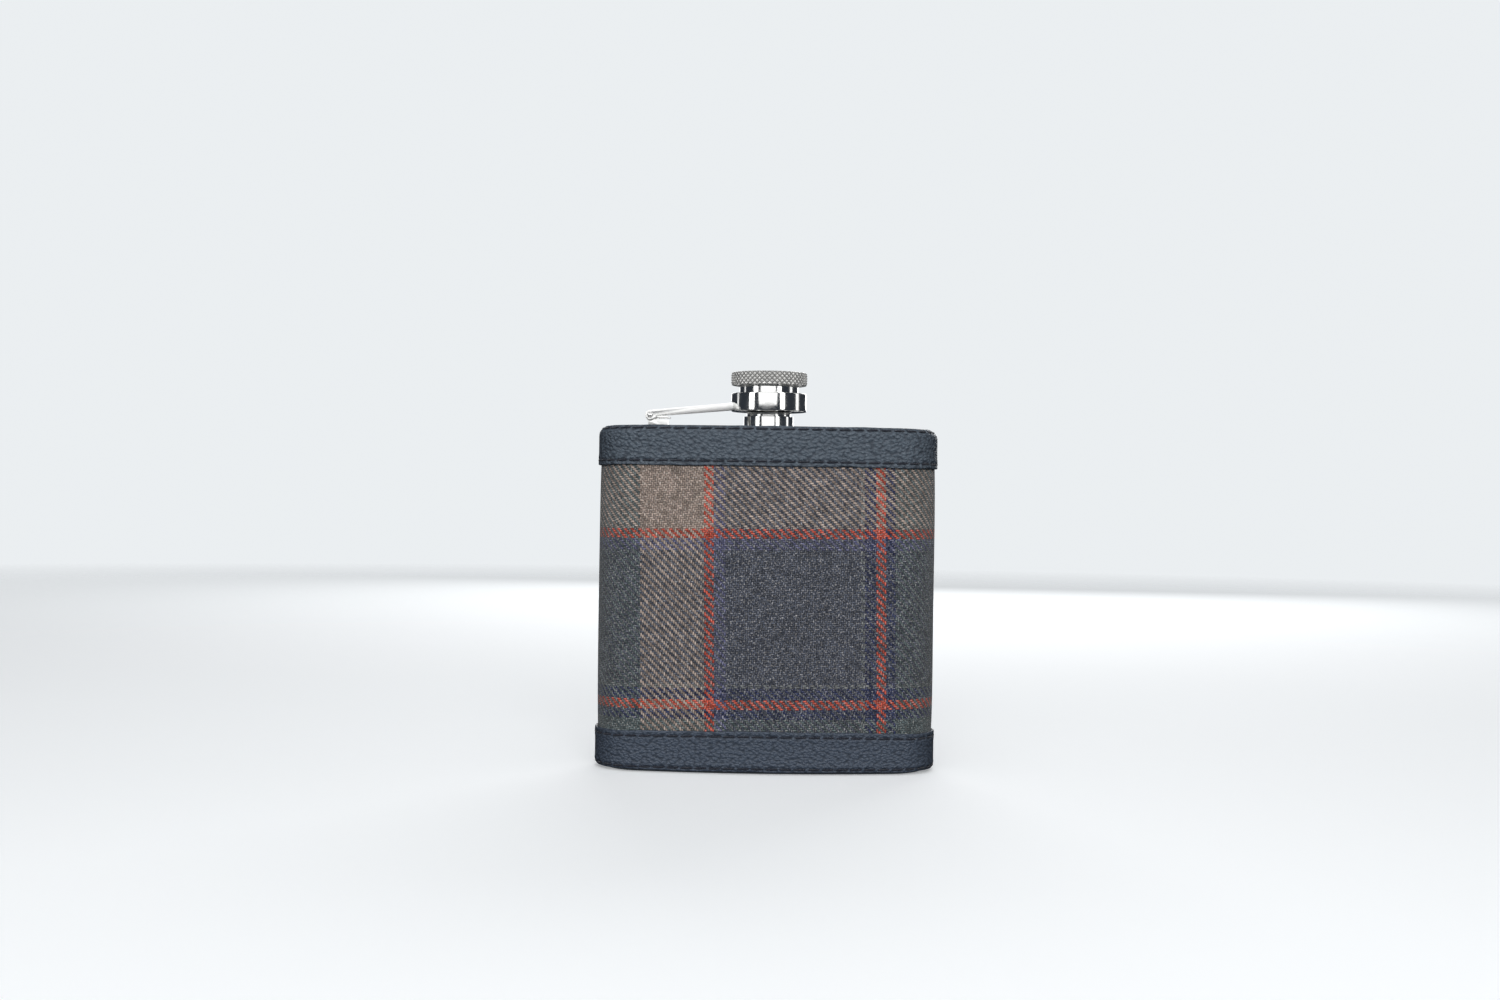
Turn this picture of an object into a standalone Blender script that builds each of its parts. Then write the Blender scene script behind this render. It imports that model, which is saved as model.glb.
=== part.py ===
"""Hip flask: a curved steel flask in a tartan and leather cover, with a captive screw cap.

The flask stands on its base.  X is its width, Y its depth and Z its height, in metres.
The convex, tartan front faces -Y, and the cap's hinge is on the -X side.
The origin is under the middle of the flask, on the surface it stands on.
"""
import math

import bmesh
import bpy

MM = 0.001

# Steel body
SHELL_WIDTH = 90.8 * MM         # across the straight part of the body
SHELL_DEPTH = 22.5 * MM         # from the front skin to the back skin
BEND_RADIUS = 190.0 * MM        # of the body's middle line, so that it follows a hip
BODY_HEIGHT = 94.0 * MM         # from the base to the top plate's face
SHELL_WALL = 0.6 * MM
PLATE_THICKNESS = 0.8 * MM
BASE_RIM = 4.0 * MM             # width of the flat ring that the flask stands on
BASE_RECESS = 1.0 * MM          # how far the middle of the base is pressed up
RECESS_SLOPE = 1.2 * MM

# Rounded ends of the body: how far they draw in, and over what height
TOP_DRAW_ENDS = 4.5 * MM
TOP_DRAW_FACES = 1.3 * MM
TOP_DRAW_HEIGHT = 3.3 * MM
TOP_DRAW_MARGIN = 0.05          # share of the quarter round left out above the cover
BASE_DRAW_ENDS = 2.6 * MM
BASE_DRAW_FACES = 1.0 * MM
BASE_DRAW_HEIGHT = 3.0 * MM
BASE_DRAW_MARGIN = 0.1

# Cover: backing, tartan and leather, each lying on the one before
GLUE_LINE = 0.15 * MM
BACKING_THICKNESS = 0.3 * MM
TARTAN_THICKNESS = 0.45 * MM
LEATHER_THICKNESS = 0.75 * MM
BAND_HEIGHT = 11.0 * MM
BAND_OVERLAP = 4.0 * MM         # of leather over tartan
COVER_ABOVE_TOP = 0.7 * MM      # the leather stands up past the top plate
BASE_SHOWING = 0.8 * MM         # steel left bare under the cover
THREAD_RADIUS = 0.2 * MM
THREAD_CLEARANCE = 0.06 * MM
STITCH_INSET_END = 0.8 * MM     # from the band's edge at the end of the flask
STITCH_INSET_TARTAN = 1.3 * MM  # from the band's edge on the tartan

# Neck
NECK_BORE_RADIUS = 5.4 * MM
NECK_COLLAR_RADIUS = 6.9 * MM
NECK_COLLAR_HEIGHT = 3.6 * MM
NECK_BARE_HEIGHT = 1.4 * MM     # between the collar and the thread
NECK_HEIGHT = 10.0 * MM         # from the top plate to the pouring rim
NECK_ROOT_RADIUS = 6.05 * MM
NECK_CREST_RADIUS = 6.5 * MM
NECK_SPIGOT_RADIUS = 6.2 * MM
NECK_SPIGOT_DEPTH = 1.8 * MM
THREAD_PITCH = 1.5 * MM
NECK_TURNS = 3

# Cap
CAP_THREAD_CLEARANCE = 0.5 * MM  # lets the hinged cap swing off the neck
CAP_ROOT_DEPTH = 0.5 * MM
SLEEVE_WALL = 0.65 * MM
SLEEVE_CROWN = 1.0 * MM
LIP_WIDTH = 0.85 * MM           # the turned-out lip that the ring rests on
LIP_HEIGHT = 1.3 * MM
RING_WALL = 1.95 * MM
RING_HEIGHT = 5.0 * MM
RING_PLAY = 2.25 * MM           # between the ring and the knurled head
HEAD_RADIUS = 10.6 * MM
HEAD_HEIGHT = 3.6 * MM
HEAD_CHAMFER = 0.35 * MM
LINER_THICKNESS = 1.2 * MM

# Hinge
HINGE_REACH = 32.8 * MM         # from the neck's axis to the pin
PIN_HEIGHT = 3.6 * MM           # of the pin over the top plate
PIN_RADIUS = 0.6 * MM
PIN_HEAD_RADIUS = 0.95 * MM
PIN_HEAD_THICKNESS = 0.4 * MM
KNUCKLE_RADIUS = 1.4 * MM
ARM_WIDTH = 6.0 * MM
ARM_END_THICKNESS = 2.05 * MM
LEAF_REACH = 5.6 * MM           # from the pin to the tip of the strip's turned-under end
LUG_LENGTH = 5.4 * MM
LUG_HEEL = 0.5 * MM             # of the foot, behind the pin
LUG_FOOT_HEIGHT = 2.1 * MM
LUG_KNUCKLE_WIDTH = 2.0 * MM

CLEARANCE = 0.3 * MM            # between pieces that touch or are welded
RUNNING_FIT = 0.3 * MM          # round the pin, and round the sleeve in its ring
EDGE_ROUNDING = 0.2 * MM

FACE_STEPS = 14                 # points along the front and along the back of a section
END_STEPS = 10                  # points round each end of a section
SHOULDER_STEPS = 4
ROUND_STEPS = 32                # sides of a turned piece

# Places that follow from the sizes above
BACKING_OFFSET = GLUE_LINE
TARTAN_OFFSET = BACKING_OFFSET + BACKING_THICKNESS + GLUE_LINE
LEATHER_OFFSET = TARTAN_OFFSET + TARTAN_THICKNESS + GLUE_LINE
COVER_OFFSET = LEATHER_OFFSET + LEATHER_THICKNESS
COVER_TOP = BODY_HEIGHT + COVER_ABOVE_TOP
TOP_DRAW_START = COVER_TOP - TOP_DRAW_HEIGHT * (1 - 2 * TOP_DRAW_MARGIN)
BASE_DRAW_START = BASE_DRAW_HEIGHT * (1 - BASE_DRAW_MARGIN)
UPPER_BAND_LOW = COVER_TOP - BAND_HEIGHT
LOWER_BAND_TOP = BASE_SHOWING + BAND_HEIGHT
PLATE_TOP_LOW = BODY_HEIGHT - PLATE_THICKNESS

END_ANGLE = math.asin((SHELL_WIDTH - SHELL_DEPTH) / 2 / BEND_RADIUS)
SECTION_Y = -BEND_RADIUS * (1 - math.cos(END_ANGLE)) / 2   # centres the whole depth on Y = 0

NECK_SEAT = BODY_HEIGHT + CLEARANCE
NECK_RIM = BODY_HEIGHT + NECK_HEIGHT + CLEARANCE
NECK_HOLE_RADIUS = NECK_SPIGOT_RADIUS + CLEARANCE
COLLAR_TOP = BODY_HEIGHT + NECK_COLLAR_HEIGHT

CAP_CREST_RADIUS = NECK_CREST_RADIUS + CAP_THREAD_CLEARANCE
CAP_ROOT_RADIUS = CAP_CREST_RADIUS + CAP_ROOT_DEPTH
SLEEVE_RADIUS = CAP_ROOT_RADIUS + SLEEVE_WALL
LIP_RADIUS = SLEEVE_RADIUS + LIP_WIDTH
RING_BORE_RADIUS = SLEEVE_RADIUS + RUNNING_FIT
RING_RADIUS = RING_BORE_RADIUS + RING_WALL
LINER_LOW = NECK_RIM + CLEARANCE
CAVITY_TOP = LINER_LOW + LINER_THICKNESS + CLEARANCE
SLEEVE_TOP = CAVITY_TOP + SLEEVE_CROWN
SLEEVE_LOW = COLLAR_TOP + NECK_BARE_HEIGHT
LIP_TOP = SLEEVE_LOW + LIP_HEIGHT
RING_LOW = SLEEVE_LOW
RING_SEAT_RADIUS = LIP_RADIUS + RUNNING_FIT
RING_TOP = RING_LOW + RING_HEIGHT
HEAD_LOW = RING_TOP + RING_PLAY
HEAD_TOP = HEAD_LOW + HEAD_HEIGHT

PIN_X = -HINGE_REACH
PIN_Z = BODY_HEIGHT + PIN_HEIGHT
PIN_BORE_RADIUS = PIN_RADIUS + RUNNING_FIT
KNUCKLE_SWEEP = KNUCKLE_RADIUS + 0.25 * MM
SLOT_WIDTH = LUG_KNUCKLE_WIDTH + 2 * RUNNING_FIT


def clear_scene():
    for old in list(bpy.data.objects):
        bpy.data.objects.remove(old, do_unlink=True)


def new_collection(name):
    collection = bpy.data.collections.new(name)
    bpy.context.scene.collection.children.link(collection)
    return collection


def new_material(name, colour, roughness, metallic):
    material = bpy.data.materials.new(name)
    material.use_nodes = True
    shader = material.node_tree.nodes["Principled BSDF"]
    shader.inputs["Base Color"].default_value = (*colour, 1.0)
    shader.inputs["Roughness"].default_value = roughness
    shader.inputs["Metallic"].default_value = metallic
    material.diffuse_color = (*colour, 1.0)
    return material


def add_object(name, mesh, collection, material=None, smooth=True):
    piece = bpy.data.objects.new(name, mesh)
    collection.objects.link(piece)
    if material is not None:
        mesh.materials.append(material)
    if smooth:
        mesh.shade_smooth()
        mesh.set_sharp_from_angle(angle=math.radians(35))
    return piece


# ---------------------------------------------------------------- flask sections

def quarter_round(share):
    """How far a quarter round has drawn in, 0 to 1, at this share of its height."""
    return 1 - math.sqrt(1 - min(max(share, 0.0), 1.0) ** 2)


def draw_in(z):
    """How far the ends and the faces of the body are drawn in at height z."""
    top = quarter_round((z - TOP_DRAW_START) / TOP_DRAW_HEIGHT)
    base = quarter_round((BASE_DRAW_START - z) / BASE_DRAW_HEIGHT)
    ends = TOP_DRAW_ENDS * top + BASE_DRAW_ENDS * base
    faces = TOP_DRAW_FACES * top + BASE_DRAW_FACES * base
    return ends, faces


def arc(centre, radius, start, end, steps):
    """Points on an arc, its last one left out."""
    points = []
    for step in range(steps):
        angle = start + (end - start) * step / steps
        points.append((centre[0] + radius * math.cos(angle), centre[1] + radius * math.sin(angle)))
    return points


def section(offset, z):
    """The body's outline at height z, grown by offset: a stadium bent round the hip."""
    ends, faces = draw_in(z)
    half_depth = SHELL_DEPTH / 2 + offset - faces
    half_width = SHELL_WIDTH / 2 + offset - ends
    half_angle = math.asin((half_width - half_depth) / BEND_RADIUS)
    bend_centre = (0.0, SECTION_Y + BEND_RADIUS)
    end_x = BEND_RADIUS * math.sin(half_angle)
    end_y = bend_centre[1] - BEND_RADIUS * math.cos(half_angle)
    down = -math.pi / 2
    points = arc(bend_centre, BEND_RADIUS + half_depth, down - half_angle, down + half_angle, FACE_STEPS)
    points += arc((end_x, end_y), half_depth, down + half_angle, down + half_angle + math.pi, END_STEPS)
    points += arc(bend_centre, BEND_RADIUS - half_depth, down + half_angle, down - half_angle, FACE_STEPS)
    points += arc((-end_x, end_y), half_depth, math.pi / 2 - half_angle, 1.5 * math.pi - half_angle, END_STEPS)
    return [(x, y, z) for x, y in points]


def levels(low, high):
    """Heights from low to high, closer together where the body is drawn in."""
    heights = {low, high}
    for step in range(SHOULDER_STEPS + 1):
        heights.add(BASE_DRAW_START * step / SHOULDER_STEPS)
        heights.add(TOP_DRAW_START + (COVER_TOP - TOP_DRAW_START) * step / SHOULDER_STEPS)
    inside = sorted(height for height in heights if low <= height <= high)
    spacing = 0.1 * MM
    kept = [low]
    for height in inside:
        if height - kept[-1] > spacing and high - height > spacing:
            kept.append(height)
    return kept + [high]


def loft(name, rings, collection, material, tube):
    """Joins rings of points in turn; a tube joins its last ring to its first, a solid is capped."""
    mesh = bpy.data.meshes.new(name)
    bm = bmesh.new()
    ring_verts = [[bm.verts.new(point) for point in ring] for ring in rings]
    pairs = list(zip(ring_verts, ring_verts[1:]))
    if tube:
        pairs.append((ring_verts[-1], ring_verts[0]))
    for lower, upper in pairs:
        count = len(lower)
        for i in range(count):
            j = (i + 1) % count
            bm.faces.new((lower[i], lower[j], upper[j], upper[i]))
    if not tube:
        bm.faces.new(list(reversed(ring_verts[0])))
        bm.faces.new(ring_verts[-1])
    bmesh.ops.recalc_face_normals(bm, faces=bm.faces)
    bm.to_mesh(mesh)
    bm.free()
    return add_object(name, mesh, collection, material)


def wrap(name, inner_offset, thickness, low, high, collection, material):
    """A layer of even thickness round the body, open at both ends."""
    heights = levels(low, high)
    outside = [section(inner_offset + thickness, z) for z in heights]
    inside = [section(inner_offset, z) for z in reversed(heights)]
    return loft(name, outside + inside, collection, material, tube=True)


def stitch_row(name, z, collection, material):
    """A loop of thread lying on the leather at height z."""
    step = 0.05 * MM
    slope = abs(draw_in(z + step)[0] - draw_in(z - step)[0]) / (2 * step)
    lift = (THREAD_RADIUS + THREAD_CLEARANCE) * math.hypot(1.0, slope)
    points = section(COVER_OFFSET + lift, z)
    curve = bpy.data.curves.new(name, "CURVE")
    curve.dimensions = "3D"
    curve.bevel_depth = THREAD_RADIUS
    curve.bevel_resolution = 0
    spline = curve.splines.new("POLY")
    spline.points.add(len(points) - 1)
    for spot, (x, y, height) in zip(spline.points, points):
        spot.co = (x, y, height, 1.0)
    spline.use_cyclic_u = True
    piece = bpy.data.objects.new(name, curve)
    collection.objects.link(piece)
    curve.materials.append(material)
    return piece


# ---------------------------------------------------------------- turned pieces

def turned(name, profile, collection, material, place):
    """Turns a profile of (radius, z) points about Z; the outer side runs down."""
    mesh = bpy.data.meshes.new(name)
    bm = bmesh.new()
    spots = [bm.verts.new((radius, 0.0, z)) for radius, z in profile]
    for first, second in zip(spots, spots[1:]):
        bm.edges.new((first, second))
    if profile[0][0] > 0.0:
        bm.edges.new((spots[-1], spots[0]))
    bm.to_mesh(mesh)
    bm.free()
    piece = add_object(name, mesh, collection, material, smooth=False)
    piece.location = place
    screw = piece.modifiers.new("Turn", "SCREW")
    screw.steps = ROUND_STEPS
    screw.render_steps = ROUND_STEPS
    screw.use_merge_vertices = True
    screw.merge_threshold = 0.00001
    screw.use_smooth_shade = True
    return piece


def thread_ridges(crest, root, low, turns):
    """Ridge after ridge, from the lowest up, as (radius, z) points."""
    points = []
    for turn in range(turns):
        z = low + THREAD_PITCH * turn
        points.append((root, z + 0.15 * THREAD_PITCH))
        points.append((crest, z + 0.4 * THREAD_PITCH))
        points.append((crest, z + 0.6 * THREAD_PITCH))
        points.append((root, z + 0.85 * THREAD_PITCH))
    return points


def make_neck(collection, material):
    ridges = thread_ridges(NECK_CREST_RADIUS, NECK_ROOT_RADIUS, SLEEVE_LOW, NECK_TURNS)
    spigot_low = BODY_HEIGHT - NECK_SPIGOT_DEPTH
    profile = [
        (NECK_BORE_RADIUS + EDGE_ROUNDING, NECK_RIM),
        (NECK_ROOT_RADIUS - EDGE_ROUNDING, NECK_RIM),
        (NECK_ROOT_RADIUS, NECK_RIM - EDGE_ROUNDING),
    ]
    profile += reversed(ridges)
    profile += [
        (NECK_ROOT_RADIUS, COLLAR_TOP),
        (NECK_COLLAR_RADIUS - EDGE_ROUNDING, COLLAR_TOP),
        (NECK_COLLAR_RADIUS, COLLAR_TOP - EDGE_ROUNDING),
        (NECK_COLLAR_RADIUS, NECK_SEAT),
        (NECK_SPIGOT_RADIUS, NECK_SEAT),
        (NECK_SPIGOT_RADIUS, spigot_low),
        (NECK_BORE_RADIUS, spigot_low),
        (NECK_BORE_RADIUS, NECK_RIM - EDGE_ROUNDING),
    ]
    return turned("neck", profile, collection, material, (0.0, SECTION_Y, 0.0))


def make_cap_sleeve(collection, material, place):
    """A threaded cup, with a lip turned out in the ring's seat."""
    mouth = LIP_TOP - CLEARANCE
    ridges = thread_ridges(CAP_CREST_RADIUS, CAP_ROOT_RADIUS, mouth, NECK_TURNS)
    profile = [
        (0.0, SLEEVE_TOP),
        (SLEEVE_RADIUS - EDGE_ROUNDING, SLEEVE_TOP),
        (SLEEVE_RADIUS, SLEEVE_TOP - EDGE_ROUNDING),
        (SLEEVE_RADIUS, LIP_TOP),
        (LIP_RADIUS, LIP_TOP),
        (LIP_RADIUS, SLEEVE_LOW + EDGE_ROUNDING),
        (LIP_RADIUS - EDGE_ROUNDING, SLEEVE_LOW),
        (CAP_ROOT_RADIUS, SLEEVE_LOW),
    ]
    profile += ridges
    profile += [(CAP_ROOT_RADIUS, CAVITY_TOP), (0.0, CAVITY_TOP)]
    return turned_on_axis("cap_sleeve", profile, collection, material, place)


def make_cap_head(collection, material, place):
    """The knurled disc, recessed underneath for the sleeve's crown."""
    recess_radius = SLEEVE_RADIUS + CLEARANCE
    recess_top = SLEEVE_TOP + CLEARANCE
    profile = [
        (0.0, HEAD_TOP),
        (HEAD_RADIUS - HEAD_CHAMFER, HEAD_TOP),
        (HEAD_RADIUS, HEAD_TOP - HEAD_CHAMFER),
        (HEAD_RADIUS, HEAD_LOW + HEAD_CHAMFER),
        (HEAD_RADIUS - HEAD_CHAMFER, HEAD_LOW),
        (recess_radius, HEAD_LOW),
        (recess_radius, recess_top),
        (0.0, recess_top),
    ]
    return turned_on_axis("cap_head", profile, collection, material, place)


def make_cap_liner(collection, material, place):
    liner_radius = CAP_CREST_RADIUS - CLEARANCE
    liner_top = LINER_LOW + LINER_THICKNESS
    profile = [(0.0, liner_top), (liner_radius, liner_top), (liner_radius, LINER_LOW), (0.0, LINER_LOW)]
    return turned_on_axis("cap_liner", profile, collection, material, place)


def make_cap_ring(collection, material, place):
    """A plain band, bored wider underneath for the sleeve's lip."""
    profile = [
        (RING_BORE_RADIUS, RING_TOP),
        (RING_RADIUS - EDGE_ROUNDING, RING_TOP),
        (RING_RADIUS, RING_TOP - EDGE_ROUNDING),
        (RING_RADIUS, RING_LOW + EDGE_ROUNDING),
        (RING_RADIUS - EDGE_ROUNDING, RING_LOW),
        (RING_SEAT_RADIUS, RING_LOW),
        (RING_SEAT_RADIUS, LIP_TOP + CLEARANCE),
        (RING_BORE_RADIUS, LIP_TOP + CLEARANCE),
    ]
    return turned_on_axis("cap_ring", profile, collection, material, place)


def turned_on_axis(name, profile, collection, material, place):
    """A turned piece of the cap: its own origin lies on the axis, at the height of place."""
    lowered = [(radius, z - place[2]) for radius, z in profile]
    return turned(name, lowered, collection, material, place)


def make_hinge_pin(collection, material, place):
    """A headed pin along Y, through the arm's two knuckles and the lug's one."""
    head_inner = ARM_WIDTH / 2 + CLEARANCE
    head_outer = head_inner + PIN_HEAD_THICKNESS
    profile = [
        (0.0, head_outer),
        (PIN_HEAD_RADIUS - EDGE_ROUNDING, head_outer),
        (PIN_HEAD_RADIUS, head_outer - EDGE_ROUNDING),
        (PIN_HEAD_RADIUS, head_inner),
        (PIN_RADIUS, head_inner),
        (PIN_RADIUS, -head_inner),
        (PIN_HEAD_RADIUS, -head_inner),
        (PIN_HEAD_RADIUS, EDGE_ROUNDING - head_outer),
        (PIN_HEAD_RADIUS - EDGE_ROUNDING, -head_outer),
        (0.0, -head_outer),
    ]
    pin = turned("hinge_pin", profile, collection, material, place)
    pin.rotation_euler = (math.pi / 2, 0.0, 0.0)
    return pin


# ---------------------------------------------------------------- cut pieces

def cylinder_cutter(name, radius, length, place, collection, across=False):
    turn = (math.pi / 2, 0.0, 0.0) if across else (0.0, 0.0, 0.0)
    bpy.ops.mesh.primitive_cylinder_add(
        vertices=ROUND_STEPS, radius=radius, depth=length, location=place, rotation=turn)
    return as_cutter(name, collection)


def box_cutter(name, size, place, collection):
    bpy.ops.mesh.primitive_cube_add(size=1.0, location=place)
    bpy.context.object.scale = size
    bpy.ops.object.transform_apply(location=False, rotation=False, scale=True)
    return as_cutter(name, collection)


def as_cutter(name, collection):
    cutter = bpy.context.object
    cutter.name = name
    for owner in list(cutter.users_collection):
        owner.objects.unlink(cutter)
    collection.objects.link(cutter)
    cutter.display_type = "WIRE"
    cutter.hide_render = True
    return cutter


def cut(piece, cutter):
    boolean = piece.modifiers.new("Cut " + cutter.name, "BOOLEAN")
    boolean.operation = "DIFFERENCE"
    boolean.object = cutter


def slab(name, outline, width, place, collection, material):
    """A flat outline in the XZ plane, given its width along Y."""
    mesh = bpy.data.meshes.new(name)
    bm = bmesh.new()
    bm.faces.new([bm.verts.new((x - place[0], 0.0, z - place[2])) for x, z in outline])
    bm.to_mesh(mesh)
    bm.free()
    piece = add_object(name, mesh, collection, material, smooth=False)
    piece.location = place
    thicken = piece.modifiers.new("Width", "SOLIDIFY")
    thicken.thickness = width
    thicken.offset = 0.0
    return piece


def make_top_plate(collection, material, cutters):
    rings = [section(0.0, z) for z in levels(PLATE_TOP_LOW, BODY_HEIGHT)]
    plate = loft("top_plate", rings, collection, material, tube=False)
    middle = (0.0, SECTION_Y, BODY_HEIGHT)
    hole = cylinder_cutter("neck_hole", NECK_HOLE_RADIUS, 6 * PLATE_THICKNESS, middle, cutters)
    cut(plate, hole)
    return plate


def make_bottom_plate(collection, material):
    """A pressed base: a flat rim to stand on, and a middle pushed up."""
    rings = [
        section(-BASE_RIM - RECESS_SLOPE, BASE_RECESS),
        section(-BASE_RIM, 0.0),
        section(0.0, 0.0),
        section(0.0, PLATE_THICKNESS),
        section(-BASE_RIM, PLATE_THICKNESS),
        section(-BASE_RIM - RECESS_SLOPE, BASE_RECESS + PLATE_THICKNESS),
    ]
    return loft("bottom_plate", rings, collection, material, tube=False)


def make_hinge_lug(collection, material, cutters):
    """A foot as wide as the arm, with one knuckle in its middle and a seat on each side of it."""
    low = BODY_HEIGHT + CLEARANCE
    left = PIN_X - LUG_HEEL
    right = left + LUG_LENGTH
    foot_top = low + LUG_FOOT_HEIGHT
    pin = (PIN_X, SECTION_Y, PIN_Z)
    outline = [(left, low), (right, low), (right, foot_top), (PIN_X + 0.8 * KNUCKLE_RADIUS, foot_top)]
    outline += arc((PIN_X, PIN_Z), KNUCKLE_RADIUS, math.radians(-15), math.radians(215), 14)
    outline += [(left, PIN_Z - 1.2 * KNUCKLE_RADIUS)]
    lug = slab("hinge_lug", outline, ARM_WIDTH, pin, collection, material)
    for side in (-1, 1):
        middle = SECTION_Y + side * (LUG_KNUCKLE_WIDTH + ARM_WIDTH) / 2
        name = "lug_seat_front" if side < 0 else "lug_seat_back"
        seat = cylinder_cutter(name, KNUCKLE_SWEEP, ARM_WIDTH, (PIN_X, middle, PIN_Z), cutters, across=True)
        cut(lug, seat)
    bore = cylinder_cutter("lug_bore", PIN_BORE_RADIUS, 2 * ARM_WIDTH, pin, cutters, across=True)
    cut(lug, bore)
    return lug


def make_cap_arm(collection, material, cutters):
    """A strip from the ring, curled round the pin and turned back under itself in a tapered leaf."""
    ring_side = -RING_RADIUS
    end_low = RING_LOW + CLEARANCE
    pin = (PIN_X, SECTION_Y, PIN_Z)
    leaf_root = PIN_X + 1.2 * KNUCKLE_RADIUS
    leaf_low = PIN_Z - 0.57 * KNUCKLE_RADIUS
    leaf_tip = PIN_X + LEAF_REACH
    outline = [(ring_side, end_low), (ring_side, end_low + ARM_END_THICKNESS)]
    outline += arc((PIN_X, PIN_Z), KNUCKLE_RADIUS, math.radians(95), math.radians(305), 14)
    outline += [
        (leaf_root, leaf_low),
        (leaf_tip, leaf_low + 0.2 * MM),
        (leaf_tip, leaf_low + 0.35 * MM),
        (leaf_root + 0.4 * MM, leaf_low + 0.62 * MM),
        (leaf_root + 0.4 * MM, leaf_low + 0.8 * MM),
    ]
    arm = slab("cap_arm", outline, ARM_WIDTH, pin, collection, material)
    bore = cylinder_cutter("arm_bore", PIN_BORE_RADIUS, 2 * ARM_WIDTH, pin, cutters, across=True)
    slot_reach = KNUCKLE_SWEEP + 0.1 * MM
    slot = box_cutter("arm_slot", (2 * slot_reach, SLOT_WIDTH, 4 * KNUCKLE_RADIUS), pin, cutters)
    ring_place = (0.0, SECTION_Y, (RING_LOW + RING_TOP) / 2)
    seat = cylinder_cutter("ring_seat", RING_RADIUS + CLEARANCE, 2 * RING_HEIGHT, ring_place, cutters)
    cut(arm, bore)
    cut(arm, slot)
    cut(arm, seat)
    return arm


def main():
    clear_scene()
    parts = new_collection("hip_flask")
    cutters = new_collection("cutters")

    polished = new_material("polished_steel", (0.78, 0.78, 0.77), 0.12, 1.0)
    satin = new_material("satin_steel", (0.6, 0.6, 0.6), 0.32, 1.0)
    card = new_material("cover_card", (0.2, 0.18, 0.15), 0.9, 0.0)
    tartan = new_material("tartan_wool", (0.08, 0.085, 0.1), 0.95, 0.0)
    leather = new_material("navy_leather", (0.055, 0.07, 0.095), 0.55, 0.0)
    thread = new_material("navy_thread", (0.02, 0.03, 0.06), 0.8, 0.0)
    seal = new_material("white_seal", (0.85, 0.85, 0.83), 0.5, 0.0)

    wrap("flask_shell", -SHELL_WALL, SHELL_WALL, PLATE_THICKNESS + CLEARANCE,
         PLATE_TOP_LOW - CLEARANCE, parts, satin)
    make_top_plate(parts, satin, cutters)
    make_bottom_plate(parts, satin)
    make_neck(parts, polished)

    wrap("cover_backing", BACKING_OFFSET, BACKING_THICKNESS, BASE_SHOWING, COVER_TOP, parts, card)
    wrap("tartan_wrap", TARTAN_OFFSET, TARTAN_THICKNESS,
         LOWER_BAND_TOP - BAND_OVERLAP, UPPER_BAND_LOW + BAND_OVERLAP, parts, tartan)
    wrap("upper_leather_band", LEATHER_OFFSET, LEATHER_THICKNESS, UPPER_BAND_LOW, COVER_TOP, parts, leather)
    wrap("lower_leather_band", LEATHER_OFFSET, LEATHER_THICKNESS, BASE_SHOWING, LOWER_BAND_TOP, parts, leather)
    stitch_row("upper_band_top_stitching", COVER_TOP - STITCH_INSET_END, parts, thread)
    stitch_row("upper_band_low_stitching", UPPER_BAND_LOW + STITCH_INSET_TARTAN, parts, thread)
    stitch_row("lower_band_top_stitching", LOWER_BAND_TOP - STITCH_INSET_TARTAN, parts, thread)
    stitch_row("lower_band_low_stitching", BASE_SHOWING + STITCH_INSET_END, parts, thread)

    make_hinge_lug(parts, polished, cutters)
    make_hinge_pin(parts, polished, (PIN_X, SECTION_Y, PIN_Z))
    make_cap_arm(parts, polished, cutters)

    cap_axis = (0.0, SECTION_Y, RING_LOW)
    make_cap_ring(parts, polished, cap_axis)
    make_cap_sleeve(parts, polished, cap_axis)
    make_cap_head(parts, polished, cap_axis)
    make_cap_liner(parts, seal, cap_axis)


main()
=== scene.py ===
# %% [markdown]
# # A hip flask in tartan and leather
# The flask is a curved steel bottle in a glued cover: a tartan cloth round the middle, and a
# leather band sewn at each end. Its screw cap turns in a ring on a hinged arm.
# This lesson builds the looks of each piece round a fixed frame of plain parts, in metres.
# +Z is up, the tartan front faces -Y, and the hinge is on the -X side.

# %% Load the frame
import math

import bmesh
import bpy
from mathutils import Matrix, Vector


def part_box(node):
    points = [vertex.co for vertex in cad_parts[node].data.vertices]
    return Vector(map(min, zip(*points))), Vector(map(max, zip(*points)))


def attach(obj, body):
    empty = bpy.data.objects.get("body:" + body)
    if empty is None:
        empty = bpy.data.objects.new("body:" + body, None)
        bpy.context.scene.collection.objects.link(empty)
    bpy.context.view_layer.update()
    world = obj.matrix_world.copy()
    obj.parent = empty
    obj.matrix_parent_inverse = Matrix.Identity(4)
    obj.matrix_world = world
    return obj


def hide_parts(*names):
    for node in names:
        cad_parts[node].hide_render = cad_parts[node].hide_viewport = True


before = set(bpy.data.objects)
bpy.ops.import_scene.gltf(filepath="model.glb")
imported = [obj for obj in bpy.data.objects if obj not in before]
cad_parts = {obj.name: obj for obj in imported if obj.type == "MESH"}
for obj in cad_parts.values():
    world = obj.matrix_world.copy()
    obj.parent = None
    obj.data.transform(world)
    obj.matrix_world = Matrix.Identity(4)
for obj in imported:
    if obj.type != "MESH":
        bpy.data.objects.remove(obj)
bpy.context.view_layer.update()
MM = 0.001

# %% [markdown]
# Sizes are read from the plain parts, so that every new piece sits where its part sits.
# The flask's section is a stadium bent round a large circle. The bend is the one size that a
# box cannot tell, so it is named here.

# %% Read the sizes of the flask
BEND_RADIUS = 190.0 * MM

shell_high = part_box("flask_shell")[1]
tartan_low, tartan_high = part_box("tartan_wrap")
upper_low, upper_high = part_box("upper_leather_band")
lower_low, lower_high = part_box("lower_leather_band")
plate_low, plate_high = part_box("top_plate")

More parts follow.
